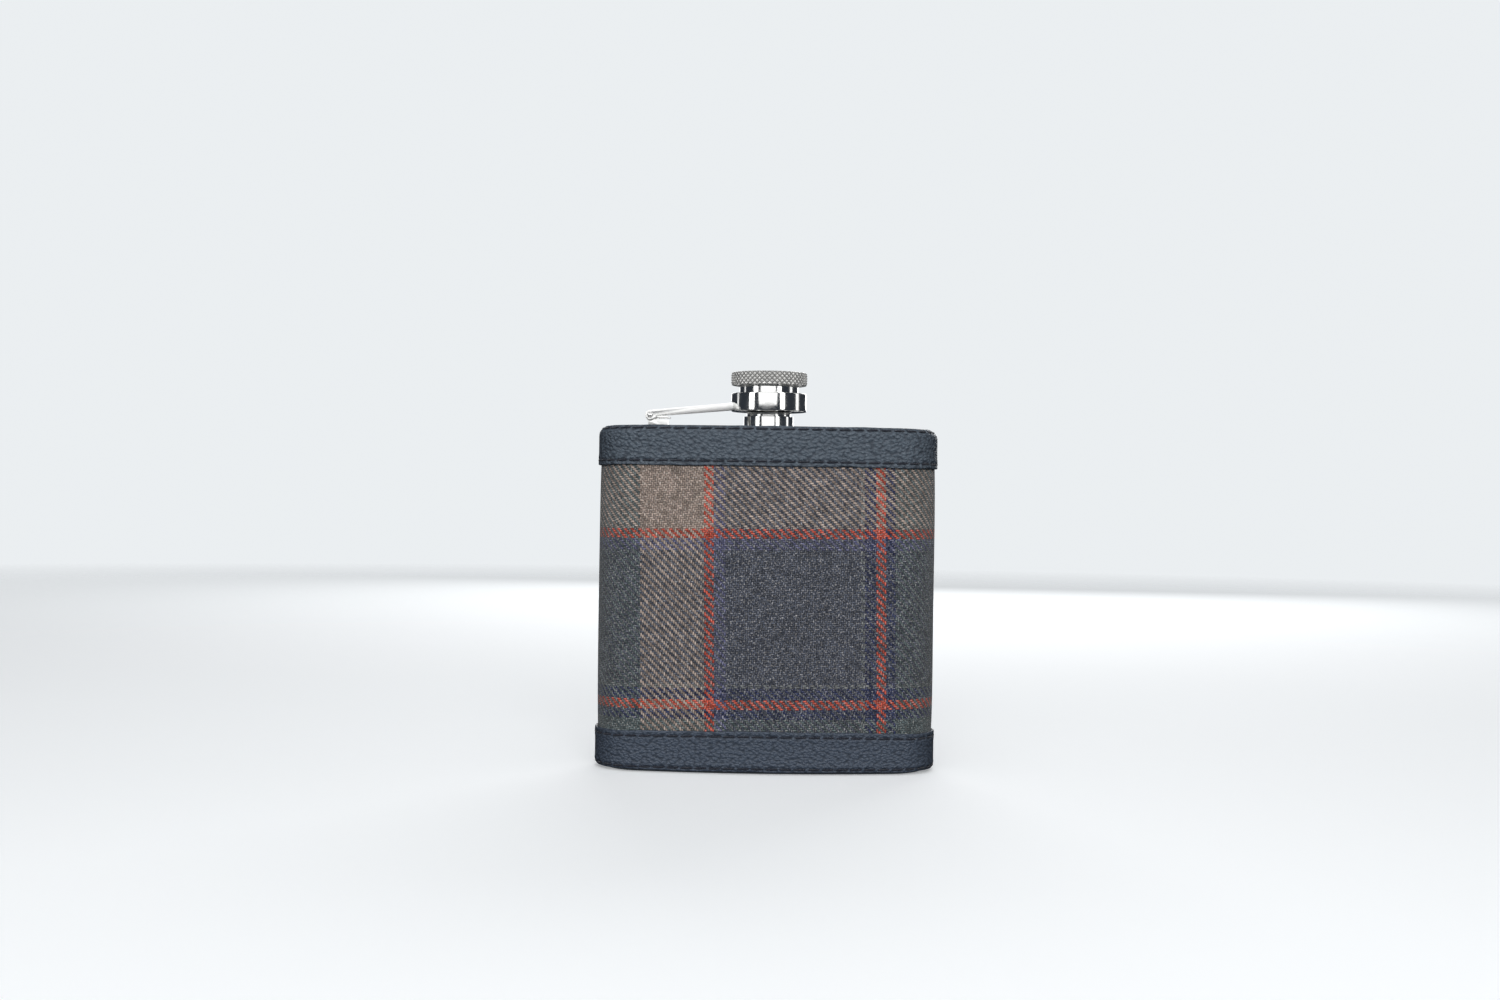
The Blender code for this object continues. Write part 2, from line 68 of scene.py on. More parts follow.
SHELL_HALF_WIDTH = shell_high.x
TARTAN_OFFSET = tartan_high.x - SHELL_HALF_WIDTH
COVER_OFFSET = lower_high.x - SHELL_HALF_WIDTH
SHELL_HALF_DEPTH = 11.25 * MM
SWEEP = math.asin((SHELL_HALF_WIDTH - SHELL_HALF_DEPTH) / BEND_RADIUS)
NECK_Y = -BEND_RADIUS * (1 - math.cos(SWEEP)) / 2
TOP_FACE = plate_high.z
COVER_TOP = upper_high.z
COVER_LOW = lower_low.z
MIDDLE_HEIGHT = 0.5 * COVER_TOP
print("cover stands", round(COVER_OFFSET / MM, 2), "mm off the steel; neck at y", round(NECK_Y / MM, 2))

# %% [markdown]
# ## The section of the body
# Cloth and leather follow the same outline, a little further out each time. One function gives
# a point on that outline from three numbers: how far round it lies, how far off the steel, and
# how high. Near the top and the base the ends of the body draw in on a quarter round.
# A second function lists even steps round the outline with their lengths, because a weave and a
# row of stitches are measured along the cloth, not along X.

# %% Describe the outline
TOP_DRAW = (4.5 * MM, 1.3 * MM, 3.3 * MM)       # at the ends, at the faces, over this height
BASE_DRAW = (2.6 * MM, 1.0 * MM, 3.0 * MM)
TOP_DRAW_START = COVER_TOP - 0.9 * TOP_DRAW[2]
BASE_DRAW_START = 0.9 * BASE_DRAW[2]


def quarter_round(share):
    return 1 - math.sqrt(1 - min(max(share, 0.0), 0.999) ** 2)


def draw_in(z):
    top = quarter_round((z - TOP_DRAW_START) / TOP_DRAW[2])
    base = quarter_round((BASE_DRAW_START - z) / BASE_DRAW[2])
    return TOP_DRAW[0] * top + BASE_DRAW[0] * base, TOP_DRAW[1] * top + BASE_DRAW[1] * base


def outline_sizes(offset, z):
    ends, faces = draw_in(z)
    half_depth = SHELL_HALF_DEPTH + offset - faces
    half_width = SHELL_HALF_WIDTH + offset - ends
    return half_depth, math.asin((half_width - half_depth) / BEND_RADIUS)


def outline_point(place, offset, z):
    """place is (stretch, share): stretch 0 is the front, 1 the +X end, 2 the back, 3 the -X end."""
    stretch, share = place
    half_depth, sweep = outline_sizes(offset, z)
    bend_y = NECK_Y + BEND_RADIUS
    if stretch in (0, 2):
        radius = BEND_RADIUS + half_depth if stretch == 0 else BEND_RADIUS - half_depth
        angle = sweep * (2 * share - 1) if stretch == 0 else sweep * (1 - 2 * share)
        return Vector((radius * math.sin(angle), bend_y - radius * math.cos(angle), z))
    side = 1 if stretch == 1 else -1
    centre = Vector((side * BEND_RADIUS * math.sin(sweep), bend_y - BEND_RADIUS * math.cos(sweep), z))
    turn = sweep - math.pi / 2 + math.pi * (share if side > 0 else 1 - share)
    return centre + Vector((side * half_depth * math.cos(turn), half_depth * math.sin(turn), 0))


def outline_places(step):
    """Places round the outline about one step apart, from the middle of the back round the front."""
    half_depth, sweep = outline_sizes(COVER_OFFSET, MIDDLE_HEIGHT)
    front = 2 * sweep * (BEND_RADIUS + half_depth)
    back = 2 * sweep * (BEND_RADIUS - half_depth)
    end = math.pi * half_depth
    runs = [(2, 0.5, 1.0, back / 2), (3, 0.0, 1.0, end), (0, 0.0, 1.0, front),
            (1, 0.0, 1.0, end), (2, 0.0, 0.5, back / 2)]
    places = []
    for stretch, start, stop, length in runs:
        count = max(2, round(length / step))
        places += [(stretch, start + (stop - start) * i / count) for i in range(count)]
    return places


def outline_lengths(places, offset, z):
    """The arc length at each place, zero at the middle of the front, and the whole length round."""
    points = [outline_point(place, offset, z) for place in places]
    total = 0.0
    lengths = []
    for here, after in zip(points, points[1:] + points[:1]):
        lengths.append(total)
        total += (after - here).length
    middle = min(range(len(points)), key=lambda i: abs(points[i].x) + (points[i].y > 0))
    return [length - lengths[middle] for length in lengths], total


def outline_normal(place, offset, z):
    """The direction straight out of the cover at this place."""
    nudge = 0.02 * MM
    stretch, share = place
    after = outline_point((stretch, share + 0.001), offset, z)
    around = after - outline_point((stretch, share - 0.001), offset, z)
    upward = outline_point(place, offset, z + nudge) - outline_point(place, offset, z - nudge)
    return around.cross(upward).normalized()


def under_outline(place, offset, z, depth):
    """The point on the outline, moved straight inwards by depth."""
    return outline_point(place, offset, z) - outline_normal(place, offset, z) * depth


ROUND_LENGTH = outline_lengths(outline_places(1.0 * MM), COVER_OFFSET, MIDDLE_HEIGHT)[1]
print("the cover is", round(ROUND_LENGTH / MM, 1), "mm round")

# %% [markdown]
# ## Finishes
# Each finish is a tree of shader nodes. A few small helpers keep the trees short to write: they
# add a node and fill its inputs, do sums, mix colours and map one range of values to another.
# Patterns that follow the cloth read the piece's own UV map, which is laid out in millimetres.
# Patterns on metal read Object coordinates.

# %% Helpers for shader nodes
def colour(red, green, blue):
    """A display colour from 0 to 255, as the linear value that a shader wants."""
    def linear(value):
        value /= 255
        return value / 12.92 if value <= 0.04045 else ((value + 0.055) / 1.055) ** 2.4
    return (linear(red), linear(green), linear(blue), 1.0)


def new_finish(name):
    material = bpy.data.materials.new(name)
    material.use_nodes = True
    tree = material.node_tree
    return material, tree, tree.nodes["Principled BSDF"]


def feed(tree, socket, value):
    if isinstance(value, bpy.types.NodeSocket):
        tree.links.new(value, socket)
    else:
        socket.default_value = value


def fill(tree, made, **inputs):
    """Fills inputs of a node, each with a value or a link; names have _ for a space."""
    for name, value in inputs.items():
        feed(tree, made.inputs[name.replace("_", " ")], value)


def feed_all(tree, sockets, values):
    for socket, value in zip(sockets, values):
        feed(tree, socket, value)


def node(tree, kind, settings=None, **inputs):
    made = tree.nodes.new(kind)
    for name, value in (settings or {}).items():
        setattr(made, name, value)
    fill(tree, made, **inputs)
    return made


def noise(tree, place, scale, detail, dimensions="2D", roughness=0.5):
    settings = {"noise_dimensions": dimensions}
    return node(tree, "ShaderNodeTexNoise", settings, Vector=place, Scale=scale, Detail=detail,
                Roughness=roughness).outputs[0]


def calc(tree, operation, first, second=0.0, third=0.0):
    made = node(tree, "ShaderNodeMath", {"operation": operation})
    feed_all(tree, made.inputs, (first, second, third))
    return made.outputs[0]


def mix_colour(tree, share, first, second, blend="MIX"):
    made = node(tree, "ShaderNodeMix", {"data_type": "RGBA", "blend_type": blend})
    feed_all(tree, [made.inputs[spot] for spot in (0, 6, 7)], (share, first, second))
    return made.outputs[2]


def spread(tree, value, low, high, to_low, to_high):
    """Maps a value from one range to another, and holds it there."""
    return node(tree, "ShaderNodeMapRange", {"clamp": True}, Value=value, From_Min=low, From_Max=high,
                To_Min=to_low, To_Max=to_high).outputs[0]


def bump(tree, height, distance, strength=1.0):
    return node(tree, "ShaderNodeBump", Height=height, Strength=strength, Distance=distance).outputs["Normal"]


def times(tree, first, second):
    return calc(tree, "MULTIPLY", first, second)


def minus(tree, first, second):
    return calc(tree, "SUBTRACT", first, second)


def over(tree, first, second):
    return calc(tree, "DIVIDE", first, second)


def uv_in_millimetres(tree):
    return node(tree, "ShaderNodeUVMap", {"uv_map": "cloth_mm"}).outputs[0]


def object_place(tree, per_metre, stretch=(1.0, 1.0, 1.0)):
    place = node(tree, "ShaderNodeTexCoord").outputs["Object"]
    scale = [per_metre * amount for amount in stretch]
    return node(tree, "ShaderNodeMapping", Vector=place, Scale=scale).outputs[0]

# %% [markdown]
# ### Tartan
# A tartan is one list of coloured stripes, used for the upright yarns and again for the level
# yarns. The weave is a two-and-two twill: each yarn goes over two and under two, one step further
# along in each row, which draws the fine diagonal lines.
# So the shader counts yarns along and down, asks the twill which of the two is on top, and
# takes that yarn's colour from the list. The yarn's round back gives the bump.
# The same height also darkens the colour in the gaps and dips between yarns: painted shade.

# %% Weave the tartan
WARP_YARN_MM = 0.5355                      # width of an upright yarn
WEFT_YARN_MM = 0.5275                      # and of a level one, beaten a little closer
SETT = [                                   # colour, and how many yarns wide
    ("taupe", 33), ("red", 5), ("slate_blue", 6), ("charcoal", 68), ("sage_line", 3),
    ("navy", 6), ("red", 5), ("navy", 5), ("sage", 44),
]
YARN_COLOURS = {
    "taupe": colour(166, 149, 138),
    "red": colour(196, 84, 66),
    "slate_blue": colour(92, 94, 124),
    "charcoal": colour(81, 86, 98),
    "sage_line": colour(112, 116, 118),
    "navy": colour(52, 60, 92),
    "sage": colour(88, 100, 102),
}
SETT_YARNS = sum(count for name, count in SETT)
WARP_START_MM = -34.2                      # where the taupe stripe starts, along the front
WEFT_START_MM = 84.1                       # and where it starts, counted down from here
CLOTH_TURN = math.radians(0.9)             # the cloth was glued on a little turned
CLOTH_MIDDLE_MM = 47.0                     # the height that it is turned about
TWILL = 4.0                                # over two yarns and under two, then again
FLOAT = 2.0                                # how many yarns a yarn passes over


def sett_colour(tree, yarn):
    """The colour of a yarn from its number."""
    place = over(tree, calc(tree, "FLOORED_MODULO", yarn, SETT_YARNS), SETT_YARNS)
    ramp = node(tree, "ShaderNodeValToRGB", Fac=place)
    ramp.color_ramp.interpolation = "CONSTANT"
    stops = ramp.color_ramp.elements
    passed = 0
    for index, (name, count) in enumerate(SETT):
        spot = (passed - 0.5) / SETT_YARNS if passed else 0.0
        stop = stops[index] if index < 2 else stops.new(spot)
        stop.position = spot
        stop.color = YARN_COLOURS[name]
        passed += count
    return ramp.outputs[0]


def round_back(tree, share):
    """Height over a yarn, from the share of the way across it."""
    from_middle = minus(tree, times(tree, share, 2.0), 1.0)
    return minus(tree, 1.0, calc(tree, "POWER", calc(tree, "ABSOLUTE", from_middle), 2.0))


def mix_value(tree, share, first, second):
    made = node(tree, "ShaderNodeMix")
    feed_all(tree, [made.inputs[spot] for spot in (0, 2, 3)], (share, first, second))
    return made.outputs[0]


def any_number(tree, column, row):
    """A random number from 0 to 1, the same all over one float of yarn."""
    spot = node(tree, "ShaderNodeCombineXYZ", X=column, Y=row).outputs[0]
    return node(tree, "ShaderNodeTexWhiteNoise", {"noise_dimensions": "2D"}, Vector=spot).outputs[0]


def yarn_back(tree, across, travel):
    """Height over a yarn that dives under its neighbours at both ends of each float."""
    run = over(tree, calc(tree, "FLOORED_MODULO", travel, TWILL), FLOAT)
    dive = calc(tree, "MULTIPLY_ADD", round_back(tree, run), 0.75, 0.25)
    return times(tree, round_back(tree, across), dive)


def tartan_finish():
    material, tree, shader = new_finish("tartan_wool")
    place = uv_in_millimetres(tree)
    parts = node(tree, "ShaderNodeSeparateXYZ", Vector=place)
    along = parts.outputs[0]
    up = parts.outputs[1]
    shift = times(tree, minus(tree, noise(tree, place, 0.35, 2.0), 0.5), 0.9)
    lean = math.sin(CLOTH_TURN)
    across = calc(tree, "MULTIPLY_ADD", minus(tree, up, CLOTH_MIDDLE_MM), lean, along)
    down = minus(tree, WEFT_START_MM, calc(tree, "MULTIPLY_ADD", along, -0.5 * lean, up))
    warp = calc(tree, "ADD", over(tree, minus(tree, across, WARP_START_MM), WARP_YARN_MM), shift)
    weft = calc(tree, "ADD", over(tree, down, WEFT_YARN_MM), shift)
    warp_number = calc(tree, "FLOOR", warp)
    weft_number = calc(tree, "FLOOR", weft)
    step = calc(tree, "FLOORED_MODULO", minus(tree, warp_number, weft_number), TWILL)
    warp_on_top = calc(tree, "LESS_THAN", step, FLOAT - 0.5)

    warp_travel = calc(tree, "ADD", minus(tree, weft, warp_number), 1.0)
    weft_travel = minus(tree, minus(tree, warp, weft_number), FLOAT)
    warp_back = yarn_back(tree, minus(tree, warp, warp_number), warp_travel)
    weft_back = yarn_back(tree, minus(tree, weft, weft_number), weft_travel)
    height = mix_value(tree, warp_on_top, weft_back, warp_back)
    height = calc(tree, "POWER", calc(tree, "MAXIMUM", height, 0.0), 0.6)

    warp_float = any_number(tree, warp_number, calc(tree, "FLOOR", over(tree, warp_travel, TWILL)))
    weft_float = any_number(tree, calc(tree, "FLOOR", over(tree, weft_travel, TWILL)),
                            calc(tree, "ADD", weft_number, 0.5))
    float_tone = spread(tree, mix_value(tree, warp_on_top, weft_float, warp_float), 0.0, 1.0, 0.62, 1.38)

    warp_colour = sett_colour(tree, warp_number)
    yarn_colour = mix_colour(tree, warp_on_top, sett_colour(tree, weft_number), warp_colour)
    fleck = noise(tree, place, 1.7, 4.0, roughness=0.75)
    pale_hair = spread(tree, fleck, 0.51, 0.68, 0.0, 0.75)
    yarn_colour = mix_colour(tree, pale_hair, yarn_colour, colour(168, 164, 160))
    heather = spread(tree, fleck, 0.3, 0.6, 0.78, 1.2)
    patch = spread(tree, noise(tree, place, 0.22, 2.0), 0.3, 0.7, 0.9, 1.1)
    # Painted shade: depth darkens the colour in the gaps and dips between yarns, where the yarn is low.
    depth = calc(tree, "MULTIPLY_ADD", height, 1.35, 0.02)
    # light is the wool's own heather, patches and float tones, times that painted shade.
    light = times(tree, times(tree, heather, patch), times(tree, float_tone, depth))
    shade = node(tree, "ShaderNodeCombineColor", Red=light, Green=light, Blue=light).outputs[0]
    relief = calc(tree, "MULTIPLY_ADD", noise(tree, place, 6.0, 2.0), 0.25, height)
    fill(tree, shader, Base_Color=mix_colour(tree, 1.0, yarn_colour, shade, "MULTIPLY"),
         Normal=bump(tree, relief, 0.16 * MM, 0.9), Roughness=0.95, Specular_IOR_Level=0.2,
         Sheen_Weight=0.25, Sheen_Roughness=0.5)
    return material


TARTAN = tartan_finish()
print("tartan repeats every", round(SETT_YARNS * WARP_YARN_MM, 1), "mm")

# %% [markdown]
# ### Leather, thread and card
# The raised cells are painted lighter and the dips darker, as light and shade on the grain.
# The upper band is painted lighter than the lower, as light falls from above.
# The leather is pebbled: small raised cells with soft dips between them, a little longer one way
# than the other. The cells come from a smooth Voronoi texture that noise bends.
# An attribute made with each band darkens its cut edges, as edge paint, and paints shade into the grooves
# under its stitches.
# The thread is dark, with a twist, and the card is plain and fibrous.
# The thread's colour is painted lighter on the ridges of its twist and darker between them: painted light and
# shade.

# %% Finish the leather, thread and card
def leather_finish(name, cell_mm, grain, dip_colour_in_painted_shade, top_colour_in_painted_light):
    material, tree, shader = new_finish(name)
    place = uv_in_millimetres(tree)
    bend = node(tree, "ShaderNodeTexNoise", {"noise_dimensions": "2D"}, Vector=place, Scale=1.1, Detail=3.0)
    bent = node(tree, "ShaderNodeVectorMath", {"operation": "MULTIPLY_ADD"})
    feed_all(tree, bent.inputs, (bend.outputs[1], (0.8, 0.8, 0.0), place))
    leant = node(tree, "ShaderNodeMapping", Vector=bent.outputs[0],
                 Rotation=(0.0, 0.0, math.radians(35)), Scale=(0.8, 1.2, 1.0)).outputs[0]
    cells = node(tree, "ShaderNodeTexVoronoi", {"voronoi_dimensions": "2D", "feature": "SMOOTH_F1"},
                 Vector=leant, Scale=1.0 / cell_mm, Smoothness=0.35)
    pebble = spread(tree, cells.outputs[0], 0.15, 0.8, 1.0, 0.0)
    grained = calc(tree, "MULTIPLY_ADD", noise(tree, leant, 1.6 / cell_mm, 1.0), 0.7, pebble)
    relief = calc(tree, "MULTIPLY_ADD", noise(tree, place, 0.45, 2.0), 0.6, grained)
    # shade: painted shade in the stitch grooves, and a lighter dark on the cut edges as edge paint.
    shade = node(tree, "ShaderNodeAttribute", {"attribute_name": "shade"}).outputs["Fac"]
    # Painted light and shade on the grain: raised pebbles are painted lighter, the dips between them darker.
    tone = mix_colour(tree, spread(tree, grained, 0.35, 1.3, 0.0, 1.0), dip_colour_in_painted_shade, top_colour_in_painted_light)
    fill(tree, shader, Base_Color=mix_colour(tree, shade, tone, colour(17, 20, 30)),
         Roughness=spread(tree, relief, 0.4, 1.5, 0.6, 0.42), Normal=bump(tree, relief, grain))
    return material


def thread_finish():
    material, tree, shader = new_finish("navy_thread")
    twist = node(tree, "ShaderNodeTexWave", {"bands_direction": "DIAGONAL"},
                 Vector=object_place(tree, 1000.0), Scale=3.0, Distortion=1.5).outputs[1]
    # Painted light and shade: the colour follows the twist, lighter on its ridges and darker between them.
    fill(tree, shader, Base_Color=mix_colour(tree, twist, colour(13, 16, 28), colour(30, 35, 55)),
         Normal=bump(tree, twist, 0.05 * MM, 0.6), Roughness=0.6, Sheen_Weight=0.2)
    return material


def card_finish():
    material, tree, shader = new_finish("cover_card")
    fibre = noise(tree, object_place(tree, 1000.0, (1.0, 1.0, 0.25)), 1.4, 5.0, "3D")
    fill(tree, shader, Base_Color=mix_colour(tree, fibre, colour(30, 33, 38), colour(66, 66, 66)),
         Normal=bump(tree, fibre, 0.05 * MM, 0.5), Roughness=0.9)
    return material


# One leather in two copies: the upper band is painted lighter and the lower darker, as light falls from
# above.
UPPER_LEATHER_PAINTED_LIGHTER = leather_finish("navy_leather_upper_painted_lighter", 1.0, 0.26 * MM, colour(62, 71, 82), colour(92, 104, 116))
LOWER_LEATHER_PAINTED_DARKER = leather_finish("navy_leather_lower_painted_darker", 0.85, 0.17 * MM, colour(55, 64, 77), colour(82, 93, 109))
THREAD = thread_finish()
CARD = card_finish()
print("leather, thread and card are ready")

# %% [markdown]
# ### Steel and the seal
# The cap and its ring are polished: nearly a mirror, with hair-thin scratches and a faint smear
# of handling that changes the roughness and, very little, the tint. The flask's plates are satin,
# brushed along their length, so their noise is stretched along X. The pressed arm is duller. So is
# the knurled head, which also has only part of a metal's reflection, to keep it pale.
# An attribute marks the bottoms of the knurling, which are painted darker, as shade, because little light
# gets in.

# %% Finish the steel and the seal
def polished_finish(name, roughness, smear, brightness, metal=1.0):
    material, tree, shader = new_finish(name)
    handled = noise(tree, object_place(tree, 300.0), 1.0, 4.0, "3D")
    hair = noise(tree, object_place(tree, 1000.0, (1.0, 1.0, 14.0)), 1.0, 2.0, "3D")
    marks = calc(tree, "MULTIPLY_ADD", hair, 0.4, handled)
    worn = colour(*[value - 10 for value in brightness])
    tint = mix_colour(tree, handled, colour(*brightness), worn)
    groove = node(tree, "ShaderNodeAttribute", {"attribute_name": "groove"}).outputs["Fac"]
    # Painted shade: the knurl's groove bottoms are mixed towards dark grey.
    groove_painted_shade = spread(tree, groove, 0.4, 1.0, 0.0, 0.8)
    fill(tree, shader, Base_Color=mix_colour(tree, groove_painted_shade, tint, colour(70, 70, 68)), Metallic=metal,
         Roughness=spread(tree, marks, 0.5, 0.9, roughness, roughness + smear),
         Normal=bump(tree, hair, 0.002 * MM, 0.5))
    return material


def satin_finish():
    material, tree, shader = new_finish("satin_steel")
    grain = noise(tree, object_place(tree, 1000.0, (0.06, 4.0, 4.0)), 1.0, 5.0, "3D")
    cloud = noise(tree, object_place(tree, 60.0), 1.0, 3.0, "3D")
    fill(tree, shader, Base_Color=mix_colour(tree, cloud, colour(186, 186, 184), colour(208, 208, 206)),
         Roughness=spread(tree, grain, 0.3, 0.7, 0.24, 0.4), Normal=bump(tree, grain, 0.01 * MM, 0.5),
         Metallic=1.0, Anisotropic=0.4)
    return material


def seal_finish():
    material, tree, shader = new_finish("white_seal")
    cloud = noise(tree, object_place(tree, 500.0), 1.0, 3.0, "3D")
    fill(tree, shader, Base_Color=mix_colour(tree, cloud, colour(226, 225, 218), colour(240, 240, 236)),
         Roughness=spread(tree, cloud, 0.3, 0.7, 0.4, 0.55))
    return material


POLISHED = polished_finish("polished_steel", 0.06, 0.12, (232, 232, 230))
KNURLED = polished_finish("knurled_steel", 0.24, 0.1, (255, 254, 250), metal=0.35)
PRESSED = polished_finish("pressed_steel", 0.3, 0.1, (252, 252, 250))
SATIN = satin_finish()
SEAL = seal_finish()
print("steel and seal are ready")

# %% [markdown]
# ## Camera, floor and light
# The camera looks level at the tartan front. A wide panel and four bright strips stand round the
# flask: polished rounds need them, because a cylinder shows what is round it as upright streaks.
# The strips are seen only in reflections. A fill beside the wide panel does the opposite, one
# panel stands behind, and one hangs overhead. The room is dim, so that round ends fall dark.
# The pale floor glows a little, but it neither lights the flask nor shows in its steel.

# %% Place the camera, the floor and the lights
CAMERA_DISTANCE = 480.0 * MM
CAMERA_ASIDE = -4.9 * MM
CAMERA_HEIGHT = 74.5 * MM
CAMERA_TILT = math.radians(-0.8)


def add_object(name, data):
    made = bpy.data.objects.new(name, data)
    bpy.context.scene.collection.objects.link(made)
    return made


camera_data = bpy.data.cameras.new("camera")
camera_data.lens = 42.6
camera_data.sensor_width = 36.0
camera_data.clip_start = 0.01
camera = add_object("camera", camera_data)
camera.rotation_euler = (math.pi / 2, CAMERA_TILT, 0.0)
camera.location = (CAMERA_ASIDE, lower_low.y - CAMERA_DISTANCE, CAMERA_HEIGHT)
bpy.context.scene.camera = camera

bpy.ops.mesh.primitive_plane_add(size=8.0, location=(0, 0, 0))
floor = bpy.context.object
floor.name = "floor"
floor_material, floor_tree, floor_shader = new_finish("pale_floor")
floor_cloud = noise(floor_tree, object_place(floor_tree, 3.0), 1.0, 2.0, "3D")
floor_reach = node(floor_tree, "ShaderNodeVectorMath", {"operation": "LENGTH"},
                   Vector=object_place(floor_tree, 1.0))
fill(floor_tree, floor_shader, Roughness=0.9, Emission_Color=colour(238, 241, 243), Emission_Strength=0.36,
     Base_Color=mix_colour(floor_tree, floor_cloud, colour(238, 240, 241), colour(243, 245, 246)),
     Alpha=spread(floor_tree, floor_reach.outputs["Value"], 0.4, 1.5, 1.0, 0.0))
floor.data.materials.append(floor_material)
floor.visible_diffuse = False
floor.visible_glossy = False

ROOM_LIGHT = 0.04
ROOM_BACKDROP = (0.83, 0.86, 0.88, 1.0)
world = bpy.data.worlds.new("studio")
bpy.context.scene.world = world
world.use_nodes = True
room_tree = world.node_tree
seen = node(room_tree, "ShaderNodeLightPath").outputs["Is Camera Ray"]
room_light = (0.8 * ROOM_LIGHT, 0.95 * ROOM_LIGHT, 1.2 * ROOM_LIGHT, 1.0)
fill(room_tree, room_tree.nodes["Background"], Color=mix_colour(room_tree, seen, room_light, ROOM_BACKDROP))


def panel(name, bearing, width, height, distance, middle, power, lights_cloth=False, reflects=True):
    """A panel light facing the neck; bearing is in degrees from the camera towards +X."""
    data = bpy.data.lights.new(name, "AREA")
    data.shape = "RECTANGLE"
    data.size = width
    data.size_y = height
    data.energy = power
    light = add_object(name, data)
    angle = math.radians(bearing)
    light.location = (distance * math.sin(angle), NECK_Y - distance * math.cos(angle), middle)
    aim = Vector((0, NECK_Y, min(middle, 0.1))) - light.location
    light.rotation_euler = aim.to_track_quat("-Z", "Y").to_euler()
    light.visible_diffuse = lights_cloth
    light.visible_glossy = reflects


panel("front_panel", -4, 1.1, 0.7, 0.95, 0.42, 3.6, lights_cloth=True)
panel("front_fill", 2, 0.5, 0.4, 0.95, 0.4, 3.9, lights_cloth=True, reflects=False)
panel("back_panel", 172, 0.8, 0.6, 0.95, 0.42, 5.0, lights_cloth=True)
panel("left_strip", -54.5, 0.25, 0.8, 0.8, 0.4, 2.0)
panel("right_strip", 41, 0.22, 0.8, 0.8, 0.4, 1.8)
panel("right_side_strip", 96, 0.16, 0.6, 0.7, 0.3, 0.45)
panel("left_side_strip", -110, 0.1, 0.6, 0.7, 0.3, 0.2)
panel("overhead", 0, 0.9, 0.7, 0.25, 0.95, 2.2, lights_cloth=True)
bpy.context.scene.view_settings.view_transform = "Standard"
print("camera at", [round(value, 4) for value in camera.location])

# %% [markdown]
# ## Wrapping a sheet round the body
# Cloth and leather are sheets wrapped once round the flask. Each is made from a grid: the columns
# go round the outline, and the rows follow a short profile up the sheet, over its edge and down
# its inner side. The rows close on themselves, so the sheet has a real thickness and cut edges.
# The grid carries a UV map in millimetres, which the weave and the leather grain follow.

# %% Helper that wraps a sheet
def hand_over(piece, body, replaced):
    """The piece rides on its body and stands for the plain part."""
    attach(piece, body)
    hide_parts(replaced)


def wrap_sheet(name, places, rows, surface, material):
    """surface(place, length, row) gives a point and its shade; a row is (height, depth, edge)."""
    lengths, total = outline_lengths(places, COVER_OFFSET, MIDDLE_HEIGHT)
    mesh = bpy.data.meshes.new(name)
    bm = bmesh.new()
    uv = bm.loops.layers.uv.new("cloth_mm")
    shade_layer = bm.verts.layers.float.new("shade")
    grid = []
    for place, length in zip(places, lengths):
        column = []
        for row in rows:
            point, shade = surface(place, length, row)
            vert = bm.verts.new(point)
            vert[shade_layer] = shade
            column.append(vert)
        grid.append(column)
    count = len(rows)
    for i, column in enumerate(grid):
        beside = grid[(i + 1) % len(grid)]
        start = lengths[i] / MM
        stop = (lengths[i + 1] if i + 1 < len(grid) else lengths[0] + total) / MM
        for k in range(count):
            m = (k + 1) % count
            face = bm.faces.new((column[k], beside[k], beside[m], column[m]))
            face.smooth = True
            spots = ((start, rows[k][0]), (stop, rows[k][0]), (stop, rows[m][0]), (start, rows[m][0]))
            for loop, (along, up) in zip(face.loops, spots):
                loop[uv].uv = (along, up / MM)
    bmesh.ops.recalc_face_normals(bm, faces=bm.faces)
    bm.to_mesh(mesh)
    bm.free()
    mesh.materials.append(material)
    return add_object(name, mesh), total


def even(low, high, count):
    return [low + (high - low) * i / count for i in range(count + 1)]

# %% [markdown]
# ### The tartan
# The cloth is glued down and its two edges run under the leather. Between the bands it puffs up
# softly, so its outline comes nearly level with theirs. It is one closed sheet, 0.45 mm thick at
# its edges, with a faint unevenness from the glue. The weave is in its finish.

# %% Wrap the tartan
CLOTH_THICKNESS = 0.45 * MM
CLOTH_PUFF = 0.4 * MM
CLOTH_HEIGHT = tartan_high.z - tartan_low.z


def tartan_surface(place, length, row):
    height, depth = row[:2]
    uneven = 0.03 * MM * math.sin(length / (7.3 * MM)) * math.sin(height / (9.1 * MM))
    share = (height - tartan_low.z) / CLOTH_HEIGHT
    if depth == 0.0:
        uneven += CLOTH_PUFF * (1 - (2 * share - 1) ** 6)
    return under_outline(place, TARTAN_OFFSET, height, depth - uneven), 0.0


tartan_heights = even(tartan_low.z, tartan_high.z, 60)
tartan_rows = [(z, 0.0, 0.0) for z in tartan_heights]
tartan_rows += [(z, CLOTH_THICKNESS, 0.0) for z in reversed(tartan_heights[::6])]
tartan_places = outline_places(1.0 * MM)
tartan, tartan_round = wrap_sheet("tartan_cloth", tartan_places, tartan_rows, tartan_surface, TARTAN)
hand_over(tartan, "flask", "tartan_wrap")
print("cloth", round(tartan_round / MM), "x", round(CLOTH_HEIGHT / MM), "mm")

# %% [markdown]
# ### The leather bands
# Each band is a strip 11 mm high. Its long edges are cut and a little round. Each row of stitches
# pulls a shallow groove into the leather, with a soft swell beside it, and where the thread dives
# through a hole the leather puffs up between two stitches. The lower band's top edge sags
# slightly towards the ends, as it was sewn.

